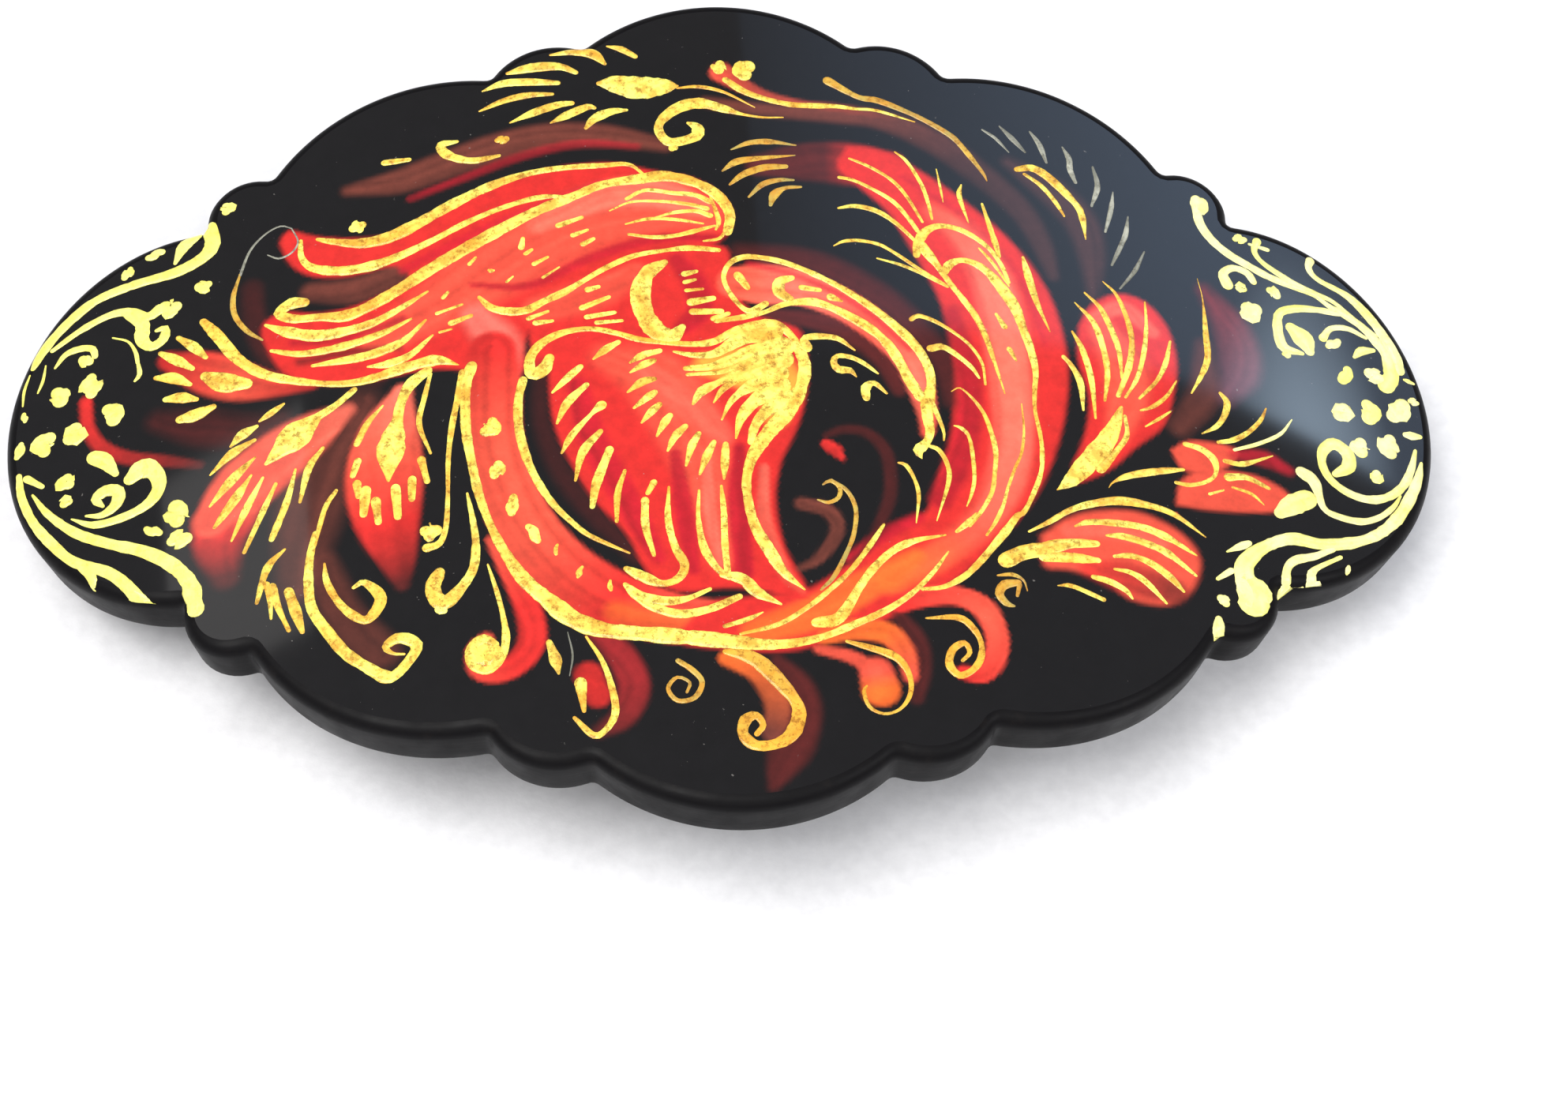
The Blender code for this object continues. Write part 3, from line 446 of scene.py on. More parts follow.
OCHRE_TAIL_TIP = [
    [(0.7, 19.2, 0.15), (2, 19.8, 0.5), (3.5, 19.9, 0.5), (5.3, 19.6, 0.15)],
    [(0, 17.3, 0.15), (1, 18.1, 0.6), (2.5, 18.4, 0.5), (5.2, 18.7, 0.1)],
    [(0.5, 16.1, 0.2), (1.5, 17, 0.6), (3, 17.6, 0.6), (4.5, 17.7, 0.4)],
    [(1.8, 15, 0.2), (2.8, 16.1, 0.5), (4, 16.5, 0.4), (5, 16.5, 0.2)],
    [(3.3, 14.3, 0.3), (3.6, 15.2, 0.7), (4.4, 15.8, 0.4), (5.5, 15.9, 0.2)],
]
GOLD_TAIL = [
    [(9.1, 18.5, 0.2), (10.5, 17.8, 0.3), (12, 16.7, 0.3), (13, 15.3, 0.3), (14, 13.1, 0.2)],
    [
        (8.3, 16.8, 0.3), (9.2, 16.6, 0.31), (10.5, 15.9, 0.33), (12, 14.8, 0.36), (13, 13.4, 0.38),
        (13.6, 12.3, 0.4),
    ],
    [(8.1, 14.1, 0.2), (9.3, 14.3, 0.4), (10.8, 13.9, 0.5), (12.1, 12.9, 0.4), (13.3, 11.5, 0.3)],
    [(12.4, 19.2, 0.15), (13.2, 18.4, 0.3), (14.1, 16.5, 0.35), (14.5, 14.9, 0.3), (14.7, 13.4, 0.2)],
    [(15.3, 17.8, 0.1), (15.5, 16, 0.2), (15.6, 14.9, 0.05)],
    [(17, 16.5, 0.15), (16.8, 15.5, 0.4), (17.3, 13.2, 0.1)],
    [(18.4, 14.9, 0.2), (19, 12, 0.5), (19.3, 10.4, 0.3)],
    [
        (7.6, 10.8, 0.1), (8.3, 11.2, 0.3), (9.4, 11.3, 0.3), (10.8, 11, 0.3), (12, 10.2, 0.3),
        (13.5, 9, 0.3), (15.2, 7.8, 0.2),
    ],
    [(10.6, 9.8, 0.15), (12.7, 9.1, 0.3), (15.4, 7.6, 0.3)],
    [
        (13.4, 10.2, 0.5), (13.6, 11.3, 0.8), (14.2, 12.3, 0.7), (15.2, 12.8, 0.5), (16.5, 12.6, 0.5),
        (17.7, 11.9, 0.5), (18.7, 10.9, 0.4), (19.4, 9.6, 0.4), (19.8, 8.2, 0.3),
    ],
    [(17.9, 11, 0.17), (18.7, 9.9, 0.3), (19.8, 7.9, 0.17)],
    [
        (13.8, 11, 0.9), (14.9, 9.2, 0.6), (15.6, 7.9, 0.5), (16.4, 6.6, 0.5), (17.2, 5.2, 0.5),
        (17.8, 3.5, 0.45), (18.2, 1.7, 0.35), (18.8, -1.2, 0.1),
    ],
    [
        (15.2, 8.6, 0.5), (15.7, 9.5, 0.7), (16.6, 9.9, 0.5), (17.6, 9.6, 0.6), (18.5, 8.8, 0.7),
        (19.4, 7.4, 0.9), (20.1, 6, 0.9), (20.5, 4.3, 0.7), (20.9, 2.6, 0.6), (21.1, 0.8, 0.5),
        (20.9, -0.9, 0.35), (20.8, -2.5, 0.3), (21, -4.4, 0.35), (21, -6, 0.35), (20.7, -7.8, 0.35),
        (19.5, -10.5, 0.4), (18.9, -11, 0.5), (18.2, -12, 0.6), (17.2, -13.3, 0.6), (16, -14.8, 0.5),
        (14.9, -15.9, 0.5), (13.5, -16.7, 0.4), (12.1, -16.9, 0.3),
    ],
    [(21, 10.4, 0.3), (21.3, 8.5, 0.7), (21.7, 6.5, 0.4), (22.4, 4.2, 0.1)],
    [(18.7, 5.4, 0.25), (19.2, 4.4, 0.5)],
    [(19.4, 2.5, 0.5), (19.8, 1.6, 0.2)],
    [(23.2, 2.1, 0.4), (23.7, 1.4, 0.4), (24.2, 0, 0.5), (24.2, -2.2, 0.2)],
    [
        (12.7, 4.7, 0.4), (13.2, 5, 0.39), (14.3, 4.6, 0.36), (15.6, 3.7, 0.32), (16.7, 2.6, 0.28),
        (17.4, 1.2, 0.24), (17.5, -0.5, 0.2),
    ],
    [(13.9, 2.3, 0.6), (14.9, 2.4, 0.5), (16.5, 1, 0.4), (17.1, 0, 0.2)],
    [
        (15.1, -1.2, 0.1), (15.7, -0.9, 0.15), (16.5, -1.7, 0.23), (17.2, -2.9, 0.32), (17.6, -4.4, 0.39),
        (17.8, -6, 0.38), (17.6, -7.7, 0.36), (17.3, -9.2, 0.34), (16.5, -10.7, 0.32), (15.6, -11.9, 0.3),
    ],
    [
        (15.1, -4, 0.15), (15.6, -4.2, 0.35), (16.1, -5.1, 0.3), (16.2, -7.9, 0.3), (15.9, -9.4, 0.25),
        (15.5, -10.4, 0.1),
    ],
    [(13.3, -5.7, 0.3), (13.9, -6, 0.35), (14.4, -7.1, 0.35), (14.4, -8.5, 0.35), (13.4, -11.6, 0.1)],
    [(11.1, -7.1, 0.2), (11.6, -7.3, 0.35), (12.1, -8.4, 0.3), (12.3, -9.7, 0.3), (12, -11.8, 0.1)],
    [
        (19.9, -2, 0.1), (19.9, -4, 0.2), (19.6, -5.9, 0.25), (19, -7.3, 0.25), (18.4, -8.9, 0.25),
        (18, -10.2, 0.3), (17.4, -11.5, 0.3), (16.7, -12.6, 0.2),
    ],
]
GOLD_NECK = [
    [
        (2.6, 5.8, 0.6), (1.6, 5.2, 0.6), (0.9, 5.6, 0.4), (0.1, 6.9, 0.4), (-0.2, 8.2, 0.4),
        (0.3, 9.3, 0.5), (1.3, 9.8, 0.5), (2.6, 9.7, 0.5), (4.1, 9.3, 0.5), (5.8, 8.5, 0.5),
        (7.5, 7.5, 0.5), (9, 6.4, 0.6), (10.3, 5.3, 0.7), (11.5, 4.1, 0.8), (12.6, 2.8, 0.8),
        (13.3, 1.6, 0.7), (13.7, 0.3, 0.7), (13.7, -0.9, 0.7), (13.4, -2, 1.1), (13.3, -3.3, 0.9),
        (13.4, -4.5, 0.7), (13.1, -5.4, 0.7), (12.5, -6.1, 0.9), (12.7, -6.7, 0.1),
    ],
    [
        (-0.8, 4.4, 0.4), (1, 4.7, 0.5), (2.5, 5.1, 0.4), (4, 5.8, 0.5), (5.8, 6, 0.7), (7.2, 5.5, 0.7),
        (8.7, 4.6, 0.8), (10, 3.6, 0.8), (11, 2.4, 0.8), (11.7, 1, 0.8), (12.2, -0.3, 0.9),
        (12.9, -1.7, 0.9),
    ],
    [(13.6, -1.9, 0.5), (14.3, -4.3, 0.3), (14.3, -5.2, 0.15)],
    [(0.8, 8.2, 0.7), (1.4, 7.2, 0.49)],
    [(4.5, 8, 0.5), (3.7, 7.7, 0.9), (3.6, 6.8, 0.9), (4.3, 6.2, 0.6)],
    [(5.2, 7.2, 0.5), (6.4, 7, 0.35)],
    [(7.2, 6.4, 0.6), (7.9, 6.1, 0.2)],
    [(5.3, 2.2, 0.8), (5.3, 3, 0.6), (7.3, 3, 0.5), (8.6, 2, 0.15)],
    [
        (8.6, -0.2, 0.1), (8.2, 0.3, 0.5), (7.4, 0.4, 0.7), (7.1, 1, 0.5), (7.4, 1.5, 0.4),
        (8.3, 1.4, 0.4), (9.2, 0.9, 0.4), (10.1, 0.1, 0.15),
    ],
    [(9.2, -1.9, 0.6), (9.2, -1.1, 0.8), (9.8, -0.7, 0.5), (10.6, -1.5, 0.2)],
]
GOLD_BREAST = [
    [
        (4.6, 2.4, 0.8), (5.1, 0.8, 0.9), (4.8, -1, 1), (3.8, -3, 1.3), (2.4, -4.8, 1.1), (1.3, -6.6, 0.9),
        (0.8, -8.5, 0.7), (0.9, -10.5, 0.7), (1.3, -12.3, 0.8), (2.2, -14.2, 0.9), (3, -15.7, 0.7),
        (4.3, -17, 0.15),
    ],
    [(-3.8, 1.9, 0.2), (-2.5, 1.6, 0.5), (-1, 1.7, 0.7), (1, 3, 1.2), (3, 3.4, 1.6)],
    [(-3, 0.5, 0.5), (-1, 0.7, 0.7), (1.5, 1.8, 1.3), (3.5, 2.2, 1.8)],
    [(-2.9, 0, 0.3), (-0.5, 0.2, 0.4), (2, 1.2, 1)],
    [(-2.6, -2.4, 0.2), (-2, -1.4, 0.8), (-0.5, -0.5, 0.6), (1.5, 0.7, 1.4), (3.5, 1.2, 1.8)],
    [(-1.2, -2.3, 0.15), (-0.5, -1.2, 0.5), (0.8, -0.3, 0.7), (3, 0.6, 1.6)],
    [(-0.7, -3.7, 0.15), (0, -2.2, 0.5), (1.2, -1.1, 0.9), (3.2, 0, 1.8)],
    [(0.2, -5.2, 0.15), (0.6, -3.6, 0.7), (1.5, -2.3, 1.1), (3.3, -1, 1.9)],
    [(1.2, -5.5, 0.5), (1.5, -4.3, 0.8), (2.2, -3.2, 0.9), (3.6, -2, 1.6)],
]
GOLD_LOWER_WING = [
    [(-6.8, 1.1, 0.2), (-5.9, 1.7, 0.65), (-4.8, 2, 0.45)],
    [(-6.8, 0.3, 0.2), (-5.9, 0.9, 0.65), (-5.2, 1.2, 0.45)],
    [(-7, -1.3, 0.2), (-6, -0.5, 0.65), (-5.2, -0.3, 0.45)],
    [(-6.6, -2.6, 0.2), (-5.7, -1.8, 0.65), (-5.2, -1.4, 0.45)],
    [(-6.1, -3.8, 0.2), (-5.4, -2.9, 0.65), (-4.9, -2.4, 0.45)],
    [(-5.1, -4.9, 0.2), (-4.6, -3.9, 0.65), (-4.2, -3.3, 0.45)],
    [(-4.4, -6.1, 0.2), (-3.9, -5, 0.65), (-3.2, -4.2, 0.45)],
    [(-3.2, -7.3, 0.2), (-2.8, -5.8, 0.65), (-2.3, -4.8, 0.45)],
    [(-2.3, -8, 0.2), (-1.8, -6.6, 0.65), (-1.3, -5.5, 0.45)],
    [(-0.7, -8.4, 0.2), (-0.6, -7, 0.65), (-0.5, -5.7, 0.45)],
    [(-9.3, 1.5, 0.2), (-8.4, 2.3, 0.65), (-7.6, 2.8, 0.45)],
    [(-12.1, -1.1, 0.2), (-11, 0.1, 0.65), (-10.2, 0.9, 0.45)],
    [(-11.8, -3.6, 0.2), (-11.1, -2, 0.65), (-9.8, -0.6, 0.45)],
    [(-10.6, -8.2, 0.2), (-10.1, -6, 0.65), (-8.9, -4.4, 0.45)],
    [(-11.5, -6, 0.2), (-10.8, -4.6, 0.6), (-9.5, -3, 0.3), (-8.8, -2.3, 0.8)],
    [(-9.5, -10.3, 0.4), (-9.2, -8.5, 0.7), (-8.3, -5.9, 0.6)],
    [(-7.9, -11.5, 0.28), (-7.8, -9.3, 0.5), (-7.3, -7.6, 0.28)],
    [(-5.4, -8.6, 0.5), (-5.8, -9.4, 0.35)],
    [(-6, -10, 0.6), (-6, -12, 0.6), (-5.5, -14.2, 0.3)],
    [
        (-4.4, -9, 0.2), (-4.5, -11.5, 0.5), (-4.1, -13.6, 0.6), (-3.5, -15, 0.7), (-3.9, -16, 0.7),
        (-5, -16.4, 0.6), (-6.3, -15.8, 0.9), (-7.3, -15.2, 0.5),
    ],
    [(-2.4, -9.3, 0.2), (-2.5, -11.5, 0.4), (-2.2, -13.7, 0.6), (-1.4, -15.3, 0.5), (-0.6, -16, 0.5)],
    [(-0.9, -9, 0.2), (-0.8, -11, 0.5), (-0.8, -13.5, 0.5), (-0.7, -15.5, 0.5)],
]
GOLD_BOTTOM_CURLS = [
    [
        (-1, -21.6, 0.5), (0.5, -22, 1.1), (1.6, -22.9, 1.2), (3.3, -25.2, 0.9), (3.5, -26.5, 1),
        (2.9, -27.8, 1), (1.8, -28.4, 0.8), (0.6, -28.4, 0.8), (-0.1, -27.6, 0.8), (0.1, -26.6, 0.8),
        (0.8, -26.3, 0.6), (1.2, -27, 0.5), (0.8, -27.6, 0.4),
    ],
    [
        (6.9, -20.9, 0.3), (9.6, -21.8, 0.7), (10.5, -22.6, 0.6), (10.9, -23.8, 0.4), (10.7, -25, 0.35),
        (10, -25.9, 0.25), (9, -26.2, 0.25), (8.1, -25.7, 0.3), (7.8, -24.6, 0.35), (8, -24.2, 0.2),
    ],
    [
        (12.2, -19.1, 0.15), (14.3, -19, 0.5), (15.2, -19.7, 0.5), (15.7, -20.8, 0.4), (15.6, -22, 0.5),
        (15, -22.9, 0.5), (14.1, -23.3, 0.5), (13.5, -22.5, 0.6), (13.8, -21.4, 0.6), (14.6, -20.9, 0.5),
        (14.9, -21.6, 0.4), (14.4, -22.2, 0.3),
    ],
]
GOLD_PLUME = [
    [
        (19.6, -12.2, 0.2), (21, -11.4, 0.4), (22.5, -10.4, 0.5), (24, -9.8, 0.6), (26, -9.4, 0.7),
        (28, -9.6, 0.6), (29.8, -10.2, 0.5), (31.8, -11.8, 0.1),
    ],
    [(22.8, -11.6, 0.2), (24, -11.2, 0.5), (27, -11.3, 0.6), (29, -12, 0.6), (31, -13.3, 0.15)],
    [(24.9, -12.2, 0.2), (26, -12.2, 0.6), (27.5, -12.6, 0.6), (29, -13.3, 0.6), (30.8, -14.9, 0.2)],
    [(25.3, -13.8, 0.3), (26.5, -13.7, 0.5), (27.8, -14.2, 0.6), (29, -15.2, 0.6), (29.8, -16.2, 0.2)],
    [(25.2, -14.8, 0.2), (26.3, -15, 0.4), (27.3, -15.7, 0.5), (28.5, -17.2, 0.2)],
    [(23.7, -15.5, 0.4), (24.8, -15.8, 0.5), (25.8, -16.4, 0.4), (26.2, -17, 0.15)],
    [(21.2, -16.3, 0.1), (22.2, -16.3, 0.4), (24.2, -17.2, 0.4)],
    [(17.9, -14.5, 1.2), (19, -13.9, 1.2), (20.5, -13.5, 1.2), (22.3, -13, 0.9), (24.1, -12.9, 0.6)],
    [(20.5, -14.1, 0.9), (22.5, -14.1, 0.8), (24.1, -14.2, 0.5)],
]
GOLD_SHELL = [
    [(24, 4.3, 0.2), (24.6, 2.8, 0.5), (25, 0.3, 0.45), (25, -2.8, 0.2)],
    [(24.4, 6.8, 0.1), (25.6, 5.2, 0.5), (26.1, 3, 0.45), (26.2, 1, 0.5), (25.8, -1.3, 0.2)],
    [(25.2, 7.7, 0.15), (26.2, 6.5, 0.4), (26.8, 4.8, 0.5), (27.2, 3, 0.4), (27.2, 0.7, 0.2)],
    [
        (26.6, 8.8, 0.1), (27.5, 7.7, 0.3), (28.1, 5.5, 0.45), (28.2, 3.7, 0.45), (27.8, 1.7, 0.5),
        (26.8, -0.8, 0.4),
    ],
    [(29.5, 7.3, 0.15), (29.4, 5.3, 0.3), (29, 3, 0.4), (28.3, 0.8, 0.35), (27.3, -0.9, 0.2)],
    [(31, 4.1, 0.2), (30.5, 2.3, 0.4), (29.7, 0.7, 0.35), (28.3, -0.9, 0.2)],
    [(31.1, 0.8, 0.15), (30.3, -0.5, 0.3), (29.2, -1.5, 0.35), (28.3, -1.9, 0.2)],
    [(30.4, -1.8, 0.15), (29.5, -2.5, 0.3), (28.5, -3.2, 0.15)],
    [
        (26.9, -1.8, 0.3), (26.2, -3.5, 1.2), (25.2, -5.2, 1.6), (24.2, -6.4, 1.6), (22.8, -8, 1.1),
        (21.8, -8.8, 0.1),
    ],
    [(27.1, -2.5, 0.3), (27.1, -4, 0.4), (26.3, -5.3, 0.5), (25, -6.9, 0.8)],
]
GOLD_SMALL_FLOWER = [
    [(33.6, 9.8, 0.05), (33.8, 8, 0.1), (33.7, 5, 0.5), (33.6, 3, 0.5), (33, 1.5, 0.4), (32.1, -0.1, 0.15)],
    [(34.2, 0.1, 0.3), (34.6, -0.6, 0.5), (34.3, -1.7, 0.5), (33.6, -2.7, 0.4), (32.5, -3.4, 0.15)],
    [(37.4, -0.8, 0.15), (36.9, -1.8, 0.35), (35.9, -2.9, 0.4), (34.7, -3.7, 0.45), (33.6, -4, 0.3)],
    [
        (31.2, -4.4, 0.4), (32.3, -4.7, 0.5), (33.1, -5.5, 0.6), (33.1, -6.6, 0.3), (32.4, -7.3, 0.35),
        (31.2, -7.7, 0.35), (30.2, -7.6, 0.3),
    ],
    [(33.9, -5.5, 0.4), (35.2, -5.6, 0.5), (37.4, -4.7, 0.1)],
    [(34, -6.8, 0.7), (35.3, -6.7, 0.5), (36.8, -7.4, 0.3)],
    [(34.2, -7.6, 0.2), (35.5, -8, 0.3), (36.3, -8.8, 0.1)],
    [(32.5, -8.3, 0.25), (33.5, -7.9, 0.17)],
    [(30.8, -6.5, 0.3), (29, -6.8, 0.6), (27, -7.3, 0.6), (25.8, -7.9, 0.2), (25.4, -8.4, 0.05)],
]
CREAM_RIGHT_MIDDLE = [
    [(39.2, -1.5, 0.1), (38.2, -2.8, 0.3), (36.5, -3.8, 0.35), (34.7, -4.5, 0.3)],
]
CREAM_RIGHT_END = [
    [
        (34.3, 16.8, 0.9), (34.3, 15, 0.8), (35, 13.5, 0.7), (36.2, 12.3, 0.7), (37.7, 11.4, 0.7),
        (39, 10.7, 0.7), (40.7, 10.1, 0.6), (42.3, 9.6, 0.5), (43.3, 8.8, 0.5), (45.5, 7.4, 0.7),
        (47, 5.5, 0.9), (47.3, 4.3, 1.2), (47.3, 3.3, 1.2), (46.8, 2.5, 1.4),
    ],
    [
        (38.5, 13.7, 0.7), (38.2, 12.8, 0.5), (38.8, 11.8, 0.5), (40.7, 10.5, 0.5), (42.2, 9.8, 0.5),
        (43.7, 9.2, 0.4), (45.2, 7.8, 0.5), (46.5, 6.7, 0.5),
    ],
    [(39.2, 13.1, 0.4), (37.9, 13.4, 0.28)],
    [
        (42.4, 12.6, 0.7), (42.2, 11.9, 0.6), (42.8, 11, 0.5), (45, 9.8, 0.7), (46.7, 7.7, 0.9),
        (47.8, 5.3, 1), (48, 4, 0.9),
    ],
    [(35.8, 9.6, 0.9), (35.6, 10.5, 0.7), (36.4, 11.1, 0.6), (37.4, 10.8, 0.6), (37.8, 10.1, 0.6)],
    [
        (44, 8.2, 0.5), (42.3, 8.3, 0.6), (40.5, 8.1, 0.7), (39.3, 7.3, 0.8), (39.3, 4.8, 0.9),
        (40.7, 4.3, 0.4),
    ],
    [(40.2, 6.4, 1), (41, 5.5, 1.7), (41.3, 4.6, 0.8)],
    [(45.8, 6.4, 0.3), (44.5, 7, 0.5), (43.2, 6.8, 0.5), (42.5, 5.9, 0.7)],
    [(44.7, 4.6, 0.3), (45.3, 5.2, 0.8), (46.2, 5.4, 0.4)],
    [
        (41.9, -5.6, 0.6), (42.9, -4.9, 1), (43, -3.8, 1.1), (42.1, -3.1, 1), (41.2, -3.8, 0.9),
        (41, -5, 0.7), (41.5, -6.2, 0.7), (42.7, -7.1, 0.7), (44.2, -7.4, 0.7), (45.7, -6.9, 0.7),
        (46.9, -5.8, 0.7), (47.7, -4.3, 0.6), (48.2, -2.8, 0.3),
    ],
    [
        (39.4, -5.8, 1.1), (40.2, -6.5, 0.9), (40.6, -8.5, 0.5), (41.6, -9.1, 0.6), (43.2, -9.3, 0.6),
        (44.6, -8.8, 0.5), (45.8, -7.8, 0.4), (46.5, -6.8, 0.2),
    ],
    [(37.4, -9.3, 1), (38.3, -8.6, 1.7), (39.4, -8, 1.5)],
    [
        (48.5, -3.8, 0.3), (48, -5.3, 0.7), (47, -7.2, 0.9), (45.7, -9, 0.9), (44, -10.4, 0.9),
        (42, -11.2, 1), (40, -11.5, 1.1), (38, -11.3, 1), (36.2, -12, 1), (34.9, -13, 1.2),
        (34.2, -14.2, 1.5), (34.6, -16.5, 2.4),
    ],
    [(33.2, -12.8, 0.15), (34.2, -12.3, 0.6), (34.8, -12, 0.5)],
    [
        (40.8, -11.8, 0.5), (39.5, -12.5, 0.6), (38, -13, 0.7), (37.3, -13.8, 0.7), (37.2, -15, 0.8),
        (37.6, -15.9, 0.6),
    ],
    [(37.5, -15.8, 0.5), (38.4, -15, 0.35)],
    [(41.3, -12.4, 0.3), (39.3, -13.6, 0.5), (39, -14.4, 0.8), (39.2, -15.6, 0.9)],
    [(32.3, -15, 0.3), (33.3, -14.3, 0.6)],
]
DABS_LEFT_END = [
    (-40.1, 13.6, 0.8, 0.45, 45), (-42, 12.3, 0.7, 0.45, 50), (-36.4, 10.3, 0.75, 0.65, 0),
    (-35.1, 16.8, 0.65, 0.7, 0), (-46.3, 2.6, 0.95, 1, 0), (-44.1, 3.1, 0.85, 1.25, 0),
    (-42.3, 0.5, 1, 1.2, 0), (-44.9, -0.7, 1.1, 1.2, 0), (-47, -1.2, 1, 1.25, 0),
    (-48.6, 1.3, 0.3, 0.5, 0), (-48.7, -1.4, 0.4, 0.8, 0), (-45.2, -4.5, 0.75, 0.8, 0),
    (-45.1, -6.1, 0.6, 0.6, 0), (-38.9, -9.4, 0.8, 0.45, 0), (-37.4, -8.3, 0.95, 1.2, 0),
    (-37.1, -10.3, 1, 0.8, 0), (-38.7, 8.8, 1, 0.9, 0), (-44.5, 5.3, 0.65, 0.6, 0),
    (-19.4, -17.6, 0.5, 0.5, 0),
]
DABS_CENTRE = [
    (-16.3, -3.6, 0.7, 0.95, 0), (-15.8, -7.1, 0.6, 0.85, 0), (-14.8, -9.9, 0.5, 0.95, 0),
    (-13.4, -12.2, 0.4, 0.9, 0), (-11.9, -13.5, 0.2, 0.5, 0), (-10.4, -15.3, 0.22, 0.55, 0),
    (-8.4, -16.4, 0.22, 0.5, 0), (-16.4, -21.2, 1.1, 1, 0), (-25.7, 14, 0.8, 0.7, 20),
    (-16.3, 9.3, 0.2, 0.2, 0), (-15.6, 20.7, 0.6, 0.45, 0), (-20.2, -11.6, 0.9, 0.8, 0),
    (-3.4, 19.5, 0.4, 0.4, 0),
]
DABS_TOP_RIGHT = [
    (0.1, 26.7, 0.65, 0.7, 0), (1.8, 26.4, 0.95, 1.05, 0),
]
DABS_RIGHT_END = [
    (37.2, 13.8, 0.65, 0.45, -20), (39.2, 9.3, 0.7, 0.6, 0), (37.3, 7.5, 1, 1, 0),
    (39.5, 4.1, 0.45, 0.4, 0), (43.2, 5.5, 0.8, 0.5, 0), (43.8, 2.9, 0.65, 0.95, 0),
    (43.1, -0.3, 0.9, 1, 0), (45.2, 0, 0.95, 1.2, 0), (47.4, 0.4, 1, 1.3, 0), (48.6, 3.1, 0.5, 0.2, 0),
    (48.7, 1.4, 0.5, 0.35, 0), (48.2, -1.5, 0.8, 0.4, 15), (44.1, -3.1, 0.95, 1, 0),
    (46.2, -2.7, 0.9, 1.2, 0), (45, -5.5, 0.6, 0.7, 0), (41.7, -13.3, 0.4, 0.25, 50),
    (32.5, -16.7, 0.55, 0.6, 0), (32, -18.9, 0.5, 1.1, 0), (34.5, 16.4, 0.8, 0.8, 0),
    (46, 3.2, 0.9, 0.8, 0), (34.6, -15.8, 1.4, 1.6, 0), (39.5, -14.8, 0.5, 0.5, 0),
    (36.8, 9.4, 0.5, 0.5, 0),
]

